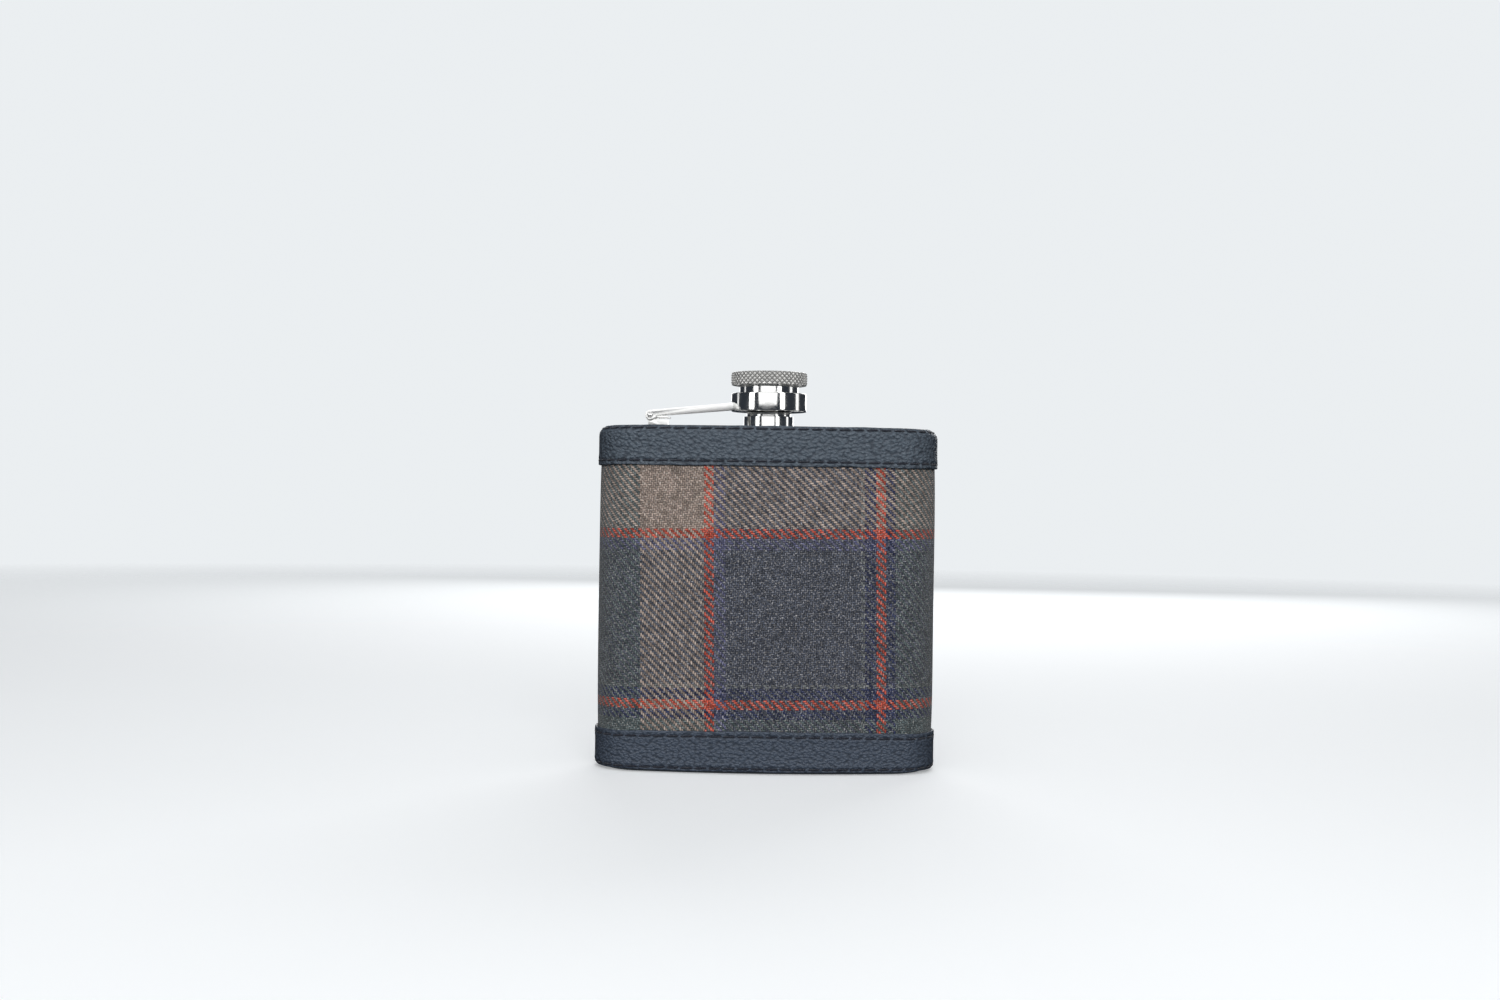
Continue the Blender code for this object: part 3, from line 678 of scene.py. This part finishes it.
# %% Stitch spacing and the leather bands
STITCH_PITCH = 3.85 * MM
STITCHES = round(ROUND_LENGTH / STITCH_PITCH)
STITCH_STEP = ROUND_LENGTH / STITCHES
LEATHER_THICKNESS = 0.75 * MM
EDGE_ROUND = 0.22 * MM
EDGE_STEPS = 3
GROOVE_MM = 0.17                           # how deep a stitch pulls the leather in
PUFF_MM = 0.1                              # how far it stands up between two stitches
SWELL_MM = 0.07                            # and beside the groove
LOWER_BAND_SAG = 0.6 * MM


def front_distance(place):
    """How far this place is from the middle of the front or back, as a share of the half width."""
    x = outline_point(place, COVER_OFFSET, MIDDLE_HEIGHT).x
    return min(1.0, abs(x) / (0.9 * SHELL_HALF_WIDTH))


def from_hole_mm(length):
    """How far the nearest needle hole is along the row."""
    phase = (length / STITCH_STEP) % 1.0
    return min(phase, 1 - phase) * STITCH_STEP / MM


def beside_thread(length, height, row_height):
    """How near a point is to a thread in its groove, from 1 to 0."""
    across = (height - row_height) / (0.34 * MM)
    return math.exp(-across ** 2) * (1 - math.exp(-(from_hole_mm(length) / 0.6) ** 2))


def pull(length, height, row_height):
    """How deep the stitches at row_height pull the leather in."""
    across = (height - row_height) / MM
    if abs(across) > 2.5:
        return 0.0
    along = 1 - math.exp(-(from_hole_mm(length) / 0.45) ** 2)
    groove = GROOVE_MM * math.exp(-(across / 0.35) ** 2) * along
    puff = PUFF_MM * math.exp(-(across / 0.7) ** 2) * (1 - along)
    swell = SWELL_MM * math.exp(-((abs(across) - 0.95) / 0.5) ** 2)
    return (groove - puff - swell) * MM


def band_rows(low, high, count):
    """The profile of a band: up its outer side, over the top edge, down inside and round again."""
    def corner(z, side, i):
        angle = 0.5 * math.pi * i / EDGE_STEPS
        rise = EDGE_ROUND * (1 - math.sin(angle))
        return (z + side * rise, EDGE_ROUND * (1 - math.cos(angle)), i / EDGE_STEPS)

    steps = range(1, EDGE_STEPS + 1)
    outer = [(z, 0.0, 0.0) for z in even(low + EDGE_ROUND, high - EDGE_ROUND, count)]
    inner = [(z, LEATHER_THICKNESS, 1.0) for z in even(high, low, 4)]
    top = [corner(high, -1, i) for i in steps]
    return outer + top + inner + [corner(low, 1, i) for i in reversed(steps)]


def make_band(name, low, high, stitch_rows, sag, material, replaced):
    def surface(place, length, row):
        height, depth, edge = row
        share = (height - low) / (high - low)
        drop = sag * front_distance(place) ** 2 * share
        waver = 0.05 * MM * math.sin(length / (4.7 * MM) + 2 * share)
        waver += 0.04 * MM * math.sin(length / (1.9 * MM))
        rise = waver * (2 * share - 1) if edge > 0 else 0.0
        pulled = sum(pull(length, height, stitch) for stitch in stitch_rows)
        inwards = depth + pulled * (1 - depth / LEATHER_THICKNESS)
        point = under_outline(place, COVER_OFFSET, height, inwards)
        # Painted shade beside each thread in its groove, and edge paint on the cut edges.
        groove_shade_and_edge_paint = max([0.3 * edge] + [0.95 * beside_thread(length, height, stitch) for stitch in stitch_rows])
        return point + Vector((0, 0, -drop + rise)), groove_shade_and_edge_paint

    band, length = wrap_sheet(name, outline_places(0.42 * MM), band_rows(low, high, 34), surface, material)
    hand_over(band, "flask", replaced)


UPPER = (upper_low.z, COVER_TOP)
LOWER = (COVER_LOW, lower_high.z)
UPPER_STITCHES = (COVER_TOP - 0.85 * MM, upper_low.z + 1.3 * MM)
LOWER_STITCHES = (lower_high.z - 1.45 * MM, COVER_LOW + 0.85 * MM)
make_band("upper_leather", *UPPER, UPPER_STITCHES, 0.0, UPPER_LEATHER_PAINTED_LIGHTER, "upper_leather_band")
make_band("lower_leather", *LOWER, LOWER_STITCHES, LOWER_BAND_SAG, LOWER_LEATHER_PAINTED_DARKER, "lower_leather_band")
print(STITCHES, "stitches in a row,", round(STITCH_STEP / MM, 2), "mm apart")

# %% [markdown]
# ### The stitching
# One thread runs round each row. On the outside it lies in its groove, and at each hole it dives
# through the leather. A curve with a round bevel does this: its points follow the outline, and
# their depth rises and dips with each stitch. Each stitch also leans a little, as sewn ones do.

# %% Sew the four rows
THREAD_RADIUS = 0.2 * MM
POINTS_PER_STITCH = 12
STITCH_LEAN = 0.16 * MM
THREAD_DIVE = 0.62 * MM
THREAD_PROUD = 0.02 * MM


def sew_row(name, height, low, high, sag, replaced):
    places = outline_places(0.2 * MM)
    lengths, total = outline_lengths(places, COVER_OFFSET, MIDDLE_HEIGHT)
    share = (height - low) / (high - low)
    curve = bpy.data.curves.new(name, "CURVE")
    curve.dimensions = "3D"
    curve.bevel_depth = THREAD_RADIUS
    curve.bevel_resolution = 1
    spline = curve.splines.new("POLY")
    count = STITCHES * POINTS_PER_STITCH
    spline.points.add(count - 1)
    spline.use_cyclic_u = True
    spot = 0
    for number in range(count):
        length = lengths[0] + total * number / count
        while spot + 1 < len(lengths) and lengths[spot + 1] < length:
            spot += 1
        place = places[spot]
        phase = (length / STITCH_STEP) % 1.0
        z = height + STITCH_LEAN * (phase - 0.5)
        depth = THREAD_DIVE * abs(2 * phase - 1) ** 7 - THREAD_PROUD
        normal = outline_normal(place, COVER_OFFSET, height)
        point = outline_point(place, COVER_OFFSET, z) - normal * depth
        drop = sag * front_distance(place) ** 2 * share
        spline.points[number].co = (point.x, point.y, point.z - drop, 1.0)
    curve.materials.append(THREAD)
    hand_over(add_object(name, curve), "flask", replaced)


for band, stitches, span, sag in (("upper", UPPER_STITCHES, UPPER, 0.0),
                                  ("lower", LOWER_STITCHES, LOWER, LOWER_BAND_SAG)):
    for edge, height in zip(("top", "low"), stitches):
        sew_row(f"thread_{band}_{edge}", height, *span, sag, f"{band}_band_{edge}_stitching")
print("four rows of thread are sewn")

# %% [markdown]
# ## Turned pieces
# A lathe-turned piece is drawn as half of its section and spun once round its axis. Here the
# profile starts as one point, which is extruded from corner to corner, and the spin makes the
# solid. Sharp corners are first rounded off in the profile, because real turned edges always
# catch the light.

# %% Helpers that turn a profile
SPIN_STEPS = 96


def deselect():
    if bpy.context.mode != "OBJECT":
        bpy.ops.object.mode_set(mode="OBJECT")
    bpy.ops.object.select_all(action="DESELECT")


def select_mesh():
    bpy.ops.mesh.select_all(action="SELECT")


def pick(piece):
    deselect()
    piece.select_set(True)
    bpy.context.view_layer.objects.active = piece


def weld_and_close(holes=False):
    """In edit mode: merges the points that meet, fills holes, and turns every face outwards."""
    select_mesh()
    bpy.ops.mesh.remove_doubles(threshold=0.002 * MM)
    if holes:
        select_mesh()
        bpy.ops.mesh.fill_holes(sides=0)
        select_mesh()
    bpy.ops.mesh.normals_make_consistent(inside=False)
    bpy.ops.object.mode_set(mode="OBJECT")


def rounded(profile, radius, closed, steps=3):
    """The profile with each corner cut back into a short arc."""
    points = []
    count = len(profile)
    for i, corner in enumerate(profile):
        if not closed and i in (0, count - 1):
            points.append(corner)
            continue
        here = Vector(corner)
        before = Vector(profile[i - 1]) - here
        after = Vector(profile[(i + 1) % count]) - here
        reach = min(radius, 0.45 * before.length, 0.45 * after.length)
        start = here + before.normalized() * reach
        stop = here + after.normalized() * reach
        for k in range(steps + 1):
            t = k / steps
            points.append(tuple((1 - t) ** 2 * start + 2 * t * (1 - t) * here + t ** 2 * stop))
    return points


def draw_line(name, points, closed):
    """Draws a line through 3D points by extruding one point, and leaves it in edit mode."""
    deselect()
    bpy.ops.mesh.primitive_plane_add(size=1.0 * MM, location=(0, 0, 0))
    piece = bpy.context.object
    piece.name = name
    bpy.ops.object.mode_set(mode="EDIT")
    select_mesh()
    bpy.ops.mesh.merge(type="CENTER")
    bpy.ops.transform.translate(value=points[0])
    ring = list(points[1:]) + ([points[0]] if closed else [])
    last = Vector(points[0])
    for point in ring:
        step = Vector(point) - last
        bpy.ops.mesh.extrude_vertices_move(TRANSFORM_OT_translate={"value": step})
        last = Vector(point)
    select_mesh()
    bpy.ops.mesh.remove_doubles(threshold=0.0005 * MM)
    return piece


def turn(name, profile, centre, closed=False, across=False, steps=SPIN_STEPS):
    """Spins a profile of (radius, height) points about Z, or about Y if across is set."""
    if across:
        points = [(centre[0] + r, centre[1] + h, centre[2]) for r, h in profile]
        axis = (0, 1, 0)
    else:
        points = [(centre[0] + r, centre[1], centre[2] + h) for r, h in profile]
        axis = (0, 0, 1)
    piece = draw_line(name, points, closed)
    bpy.ops.mesh.spin(steps=steps, angle=2 * math.pi, center=centre, axis=axis)
    weld_and_close()
    return piece


def finish_piece(piece, material, body, replaced, angle=32):
    """Shades a piece, puts its place into its mesh, and hands it to its body."""
    pick(piece)
    bpy.ops.object.transform_apply(location=True, rotation=True, scale=True)
    bpy.ops.object.shade_smooth_by_angle(angle=math.radians(angle))
    piece.data.materials.clear()
    piece.data.materials.append(material)
    hand_over(piece, body, replaced)
    print(piece.name, len(piece.data.polygons), "faces")


def join(pieces):
    deselect()
    for piece in pieces:
        piece.select_set(True)
    bpy.context.view_layer.objects.active = pieces[0]
    bpy.ops.object.join()
    return pieces[0]

# %% [markdown]
# ### The neck
# The neck is a short tube with a collar below and a screw thread above. The tube is spun. The
# thread is a small ridge with sloping sides that climbs as it goes round: the Screw modifier
# turns a closed outline and lifts it by the pitch each time round.

# %% Turn the neck
PITCH = 1.5 * MM
neck_low, neck_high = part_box("neck")
sleeve_low, sleeve_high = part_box("cap_sleeve")
ring_low, ring_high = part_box("cap_ring")
head_low, head_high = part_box("cap_head")
AXIS = Vector((0.0, NECK_Y, 0.0))
COLLAR_RADIUS = neck_high.x
COLLAR_TOP = TOP_FACE + 3.6 * MM
WELD = 0.45 * MM
NECK_BORE = 5.4 * MM
NECK_ROOT = 6.05 * MM
NECK_CREST = 6.5 * MM


def helix_ridge(name, root, crest, low, turns):
    """A screw-thread ridge: a small closed outline, turned and lifted."""
    outline = [(root, 0.0), (crest, 0.33 * PITCH), (crest, 0.47 * PITCH), (root, 0.8 * PITCH)]
    points = [(AXIS.x + r, AXIS.y, low + h) for r, h in outline]
    ridge = draw_line(name, points, closed=True)
    bpy.ops.object.mode_set(mode="OBJECT")
    ridge.data.transform(Matrix.Translation(-AXIS))
    screw = ridge.modifiers.new("thread", "SCREW")
    screw.angle = 2 * math.pi * turns
    screw.screw_offset = PITCH * turns
    screw.steps = round(48 * turns)
    screw.render_steps = screw.steps
    screw.use_smooth_shade = True
    bpy.ops.object.modifier_apply(modifier="thread")
    bpy.ops.object.mode_set(mode="EDIT")
    weld_and_close(holes=True)
    ridge.data.transform(Matrix.Translation(AXIS))
    return ridge


neck_profile = rounded([
    (NECK_BORE, neck_high.z), (NECK_ROOT, neck_high.z), (NECK_ROOT, COLLAR_TOP),
    (COLLAR_RADIUS, COLLAR_TOP), (COLLAR_RADIUS, TOP_FACE + WELD), (COLLAR_RADIUS + WELD, TOP_FACE),
    (NECK_ROOT, TOP_FACE), (NECK_ROOT, neck_low.z), (NECK_BORE, neck_low.z),
], 0.2 * MM, closed=True)
neck = turn("neck_turned", neck_profile, AXIS, closed=True)
neck_thread = helix_ridge("neck_thread", NECK_ROOT - 0.05 * MM, NECK_CREST, sleeve_low.z + 0.1 * MM, 2.5)
finish_piece(join([neck, neck_thread]), POLISHED, "flask", "neck")

# %% [markdown]
# ### The ring and the sleeve
# The ring is a plain polished band with soft edges, bored wider underneath. The sleeve turns
# inside it: a thin cup whose lower rim is turned out into a lip that sits in the wider bore, so
# that the ring cannot drop off. Its inner thread is the same climbing ridge, pointing inwards.

# %% Turn the ring and the sleeve
SLEEVE_RADIUS = 8.15 * MM
SLEEVE_ROOT = 7.5 * MM
SLEEVE_CREST = 7.0 * MM
LIP_RADIUS = sleeve_high.x
LIP_TOP = sleeve_low.z + 1.3 * MM
CAVITY_TOP = sleeve_high.z - 1.0 * MM
RING_RADIUS = ring_high.x
RUNNING_FIT = 0.3 * MM
RING_BORE = SLEEVE_RADIUS + RUNNING_FIT
RING_SEAT = LIP_RADIUS + RUNNING_FIT

ring_profile = rounded([
    (RING_BORE, ring_high.z), (RING_RADIUS, ring_high.z), (RING_RADIUS, ring_low.z),
    (RING_SEAT, ring_low.z), (RING_SEAT, LIP_TOP + RUNNING_FIT), (RING_BORE, LIP_TOP + RUNNING_FIT),
], 0.25 * MM, closed=True, steps=4)
ring = turn("ring_turned", ring_profile, AXIS, closed=True, steps=128)
finish_piece(ring, POLISHED, "cap_arm", "cap_ring")

sleeve_profile = rounded([
    (0.0, sleeve_high.z), (SLEEVE_RADIUS, sleeve_high.z), (SLEEVE_RADIUS, LIP_TOP + 0.1 * MM),
    (LIP_RADIUS, LIP_TOP - 0.2 * MM), (LIP_RADIUS - 0.15 * MM, sleeve_low.z), (SLEEVE_ROOT, sleeve_low.z),
    (SLEEVE_ROOT, CAVITY_TOP), (0.0, CAVITY_TOP),
], 0.2 * MM, closed=False)
sleeve = turn("sleeve_turned", sleeve_profile, AXIS, steps=128)
sleeve_thread = helix_ridge("sleeve_thread", SLEEVE_ROOT + 0.05 * MM, SLEEVE_CREST, LIP_TOP - 0.1 * MM, 2)
finish_piece(join([sleeve, sleeve_thread]), POLISHED, "cap", "cap_sleeve")

# %% [markdown]
# ### The knurled head
# Knurling is two sets of slanting grooves that cross and leave rows of small pyramids. On a fine
# grid this needs no texture: every other point of the rim stands up, the ones between lie in the
# grooves, and each face is then split along its groove. The grid is two steps to each pyramid.

# %% Knurl the head
HEAD_RADIUS = head_high.x
KNURLS_ROUND = 46
KNURL_ROWS = 5
KNURL_DEPTH = 0.36 * MM
HEAD_CHAMFER = 0.16 * MM


def make_head():
    low = head_low.z
    high = head_high.z
    start = high - HEAD_CHAMFER
    stop = low + HEAD_CHAMFER
    inner = HEAD_RADIUS - KNURL_DEPTH
    profile = [(0.0, high - 0.12 * MM), (6.0 * MM, high - 0.04 * MM), (inner - 0.9 * MM, high),
               (inner - 0.12 * MM, high - 0.04 * MM)]
    profile += [(inner, start + (stop - start) * k / KNURL_ROWS) for k in range(KNURL_ROWS + 1)]
    socket = SLEEVE_RADIUS - 0.1 * MM
    profile += [(inner - 0.12 * MM, low), (socket, low), (socket, low + 1.2 * MM), (0.0, low + 1.2 * MM)]
    head = turn("head_knurled", profile, AXIS, steps=2 * KNURLS_ROUND)
    bm = bmesh.new()
    bm.from_mesh(head.data)
    row_step = (start - stop) / KNURL_ROWS
    on_rim = {}
    groove = bm.verts.layers.float.new("groove")
    for vert in bm.verts:
        flat = Vector((vert.co.x - AXIS.x, vert.co.y - AXIS.y, 0))
        if abs(flat.length - inner) < 0.01 * MM and stop - 0.01 * MM < vert.co.z < start + 0.01 * MM:
            column = round(math.atan2(flat.y, flat.x) / (math.pi / KNURLS_ROUND))
            row = round((vert.co.z - stop) / row_step)
            on_rim[vert] = (column + row) % 2
            vert[groove] = 1.0 - on_rim[vert]
            share = 1.0 if 0 < row < KNURL_ROWS else 0.6
            vert.co += flat.normalized() * on_rim[vert] * share * KNURL_DEPTH
    for face in list(bm.faces):
        if len(face.verts) == 4 and all(vert in on_rim for vert in face.verts):
            lows = [vert for vert in face.verts if not on_rim[vert]]
            if len(lows) == 2:
                bmesh.utils.face_split(face, lows[0], lows[1])
    bm.to_mesh(head.data)
    bm.free()
    return head


finish_piece(make_head(), KNURLED, "cap", "cap_head", angle=24)

# %% [markdown]
# ### The seal
# Inside the cap a thin white disc seals the neck's rim. It is a spun disc with soft edges and a
# shallow ring pressed into it by the rim.

# %% Turn the seal
liner_low, liner_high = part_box("cap_liner")
SEAL_RADIUS = liner_high.x
seal_profile = rounded([
    (0.0, liner_high.z), (SEAL_RADIUS, liner_high.z), (SEAL_RADIUS, liner_low.z),
    (NECK_ROOT + 0.1 * MM, liner_low.z), (NECK_ROOT - 0.1 * MM, liner_low.z + 0.12 * MM),
    (NECK_BORE + 0.1 * MM, liner_low.z + 0.12 * MM), (NECK_BORE - 0.1 * MM, liner_low.z),
    (0.0, liner_low.z),
], 0.1 * MM, closed=False, steps=2)
finish_piece(turn("seal_disc", seal_profile, AXIS, steps=64), SEAL, "cap", "cap_liner")

# %% [markdown]
# ## The hinge
# The arm is a strip that curls round the pin and turns back under itself in a thin leaf. A slot
# in its curl lets in the lug's one knuckle. Each outline is drawn in the XZ plane, filled, and
# extruded across. Holes, slots and the seat for the ring are cut with Boolean modifiers, and a
# Bevel rounds what is left.

# %% Cut the arm, the lug and the pin
lug_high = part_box("hinge_lug")[1]
pin_low, pin_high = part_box("hinge_pin")
arm_low, arm_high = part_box("cap_arm")
PIN = Vector(((pin_low.x + pin_high.x) / 2, NECK_Y, (pin_low.z + pin_high.z) / 2))
ARM_WIDTH = arm_high.y - arm_low.y
KNUCKLE = 1.4 * MM
KNUCKLE_ROOM = KNUCKLE + 0.2 * MM
LUG_KNUCKLE_WIDTH = 2.0 * MM
PIN_HOLE = 0.75 * MM


def arc_points(radius, start, stop, steps):
    angles = [math.radians(start + (stop - start) * i / steps) for i in range(steps + 1)]
    return [(PIN.x + radius * math.cos(angle), PIN.z + radius * math.sin(angle)) for angle in angles]


def slab(name, outline, width):
    """Fills an outline in the XZ plane and extrudes it across, centred on the hinge."""
    points = [(x, PIN.y - width / 2, z) for x, z in outline]
    piece = draw_line(name, points, closed=True)
    bpy.ops.mesh.edge_face_add()
    bpy.ops.mesh.extrude_region_move(TRANSFORM_OT_translate={"value": (0, width, 0)})
    select_mesh()
    bpy.ops.mesh.normals_make_consistent(inside=False)
    bpy.ops.object.mode_set(mode="OBJECT")
    return piece


def cut_away(piece, cutter):
    bpy.context.view_layer.objects.active = piece
    cut = piece.modifiers.new("cut", "BOOLEAN")
    cut.operation = "DIFFERENCE"
    cut.object = cutter
    bpy.ops.object.modifier_apply(modifier="cut")
    bpy.data.objects.remove(cutter)


def drill(piece, radius, length, place, sides, lying=False):
    """Cuts a round hole, upright or lying along Y."""
    deselect()
    bpy.ops.mesh.primitive_cylinder_add(vertices=sides, radius=radius, depth=length, location=place,
                                        rotation=(math.pi / 2 if lying else 0, 0, 0))
    cut_away(piece, bpy.context.object)


def bore(piece, radius, length, aside=0.0):
    """Cuts a round hole along Y, round the pin's axis."""
    drill(piece, radius, length, PIN + Vector((0, aside, 0)), 64, lying=True)


def soften(piece, width):
    bpy.context.view_layer.objects.active = piece
    edge = piece.modifiers.new("edges", "BEVEL")
    edge.width = width
    edge.segments = 3
    edge.limit_method = "ANGLE"
    edge.angle_limit = math.radians(35)
    bpy.ops.object.modifier_apply(modifier="edges")


def make_arm():
    end_x = -RING_RADIUS
    end_low = ring_low.z + 0.5 * MM
    end_high = end_low + 1.9 * MM
    leaf_root = PIN.x + 1.2 * KNUCKLE
    leaf_low = PIN.z - 0.57 * KNUCKLE
    leaf_tip = PIN.x + 5.6 * MM
    outline = [(end_x + 0.7 * MM, end_low), (end_x + 0.7 * MM, end_high),
               (end_x - 0.5 * MM, end_high - 0.03 * MM), (end_x - 0.62 * MM, end_high - 0.16 * MM)]
    outline += arc_points(KNUCKLE, 95, 305, 28)
    outline += [(leaf_root, leaf_low), (leaf_tip - 0.6 * MM, leaf_low + 0.12 * MM),
                (leaf_tip, leaf_low + 0.26 * MM), (leaf_tip - 0.9 * MM, leaf_low + 0.42 * MM),
                (leaf_root + 0.45 * MM, leaf_low + 0.68 * MM), (leaf_root + 0.45 * MM, leaf_low + 0.8 * MM)]
    arm = slab("arm_strip", outline, ARM_WIDTH)
    bore(arm, PIN_HOLE, 2 * ARM_WIDTH)
    deselect()
    bpy.ops.mesh.primitive_cube_add(size=1.0, location=PIN)
    slot = bpy.context.object
    slot.scale = (2 * KNUCKLE_ROOM + 0.2 * MM, LUG_KNUCKLE_WIDTH + 0.5 * MM, 6 * KNUCKLE)
    bpy.ops.object.transform_apply(location=False, rotation=False, scale=True)
    cut_away(arm, slot)
    drill(arm, RING_RADIUS - 0.4 * MM, 12 * MM, (0, NECK_Y, ring_low.z), 128)
    soften(arm, 0.1 * MM)
    return arm


def make_lug():
    foot_top = TOP_FACE + 2.4 * MM
    heel = lug_high.x - 5.4 * MM
    outline = [(heel, TOP_FACE), (lug_high.x, TOP_FACE), (lug_high.x, foot_top),
               (PIN.x + 0.8 * KNUCKLE, foot_top)]
    outline += arc_points(KNUCKLE, -15, 215, 28)
    outline += [(heel, PIN.z - 1.2 * KNUCKLE)]
    lug = slab("lug_foot", outline, ARM_WIDTH)
    for side in (-1, 1):
        bore(lug, KNUCKLE_ROOM, ARM_WIDTH, side * (LUG_KNUCKLE_WIDTH + ARM_WIDTH) / 2)
    bore(lug, PIN_HOLE, 2 * ARM_WIDTH)
    soften(lug, 0.12 * MM)
    return lug


def make_pin():
    shank = 0.68 * MM
    head = 0.8 * (pin_high.z - PIN.z)
    outer = (pin_high.y - pin_low.y) / 2
    inner = ARM_WIDTH / 2 + 0.02 * MM
    rim = inner + 0.18 * MM
    dome = [(head * math.cos(math.radians(a)), rim + (outer - rim) * math.sin(math.radians(a)))
            for a in (0, 20, 40, 60, 75)]
    half = [(shank, inner - 0.02 * MM), (head, inner)] + dome + [(0.0, outer)]
    profile = [(r, -h) for r, h in reversed(half)] + half
    return turn("pin_riveted", profile, PIN, across=True, steps=40)


finish_piece(make_arm(), PRESSED, "cap_arm", "cap_arm", angle=24)
finish_piece(make_lug(), PRESSED, "flask", "hinge_lug", angle=24)
finish_piece(make_pin(), PRESSED, "flask", "hinge_pin")

# %% [markdown]
# ## The steel body
# Little of the body shows: the base with its pressed middle, and the top plate. Both are lofted
# here with many more points than the plain parts, so that their edges are smooth. The base's rim
# is flat, and its middle is pushed up, as a press makes it. Each ring of points follows the same
# outline, and faces join each ring to the next.

# %% Press the base and the top plate
def ring_loft(name, levels):
    """Draws the outline at each (offset, height), joins the rings with faces, and closes both ends."""
    places = outline_places(1.2 * MM)
    mesh = bpy.data.meshes.new(name)
    bm = bmesh.new()
    loops = [[bm.verts.new(outline_point(place, offset, z)) for place in places] for offset, z in levels]
    for here, above in zip(loops, loops[1:]):
        for i in range(len(here)):
            j = (i + 1) % len(here)
            bm.faces.new((here[i], here[j], above[j], above[i]))
    bm.faces.new(loops[0])
    bm.faces.new(loops[-1])
    bmesh.ops.recalc_face_normals(bm, faces=bm.faces)
    bm.to_mesh(mesh)
    bm.free()
    piece = add_object(name, mesh)
    pick(piece)
    return piece


def make_base():
    recess = 1.0 * MM
    levels = [(-6.6, recess), (-5.9, recess - 0.05 * MM), (-5.2, 0.8 * MM), (-4.6, 0.25 * MM),
              (-4.2, 0.05 * MM), (-3.6, 0.0), (-0.9, 0.0), (-0.4, 0.03 * MM), (-0.12, 0.12 * MM),
              (0.0, 0.35 * MM), (0.0, 0.8 * MM), (-0.3, 0.8 * MM), (-4.0, 0.85 * MM),
              (-5.9, recess + 0.75 * MM)]
    return ring_loft("base_pressed", [(offset * MM, z) for offset, z in levels])


def make_top():
    levels = [(-0.3 * MM, plate_low.z), (0.0, plate_low.z), (0.0, TOP_FACE - 0.4 * MM),
              (-0.1 * MM, TOP_FACE - 0.1 * MM), (-0.4 * MM, TOP_FACE)]
    plate = ring_loft("top_flat", levels)
    drill(plate, NECK_ROOT + 0.02 * MM, 8 * MM, (0, NECK_Y, TOP_FACE), 96)
    return plate


finish_piece(make_base(), SATIN, "flask", "bottom_plate")
finish_piece(make_top(), SATIN, "flask", "top_plate")
for kept, material in (("flask_shell", SATIN), ("cover_backing", CARD)):
    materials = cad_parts[kept].data.materials
    materials.clear()
    materials.append(material)
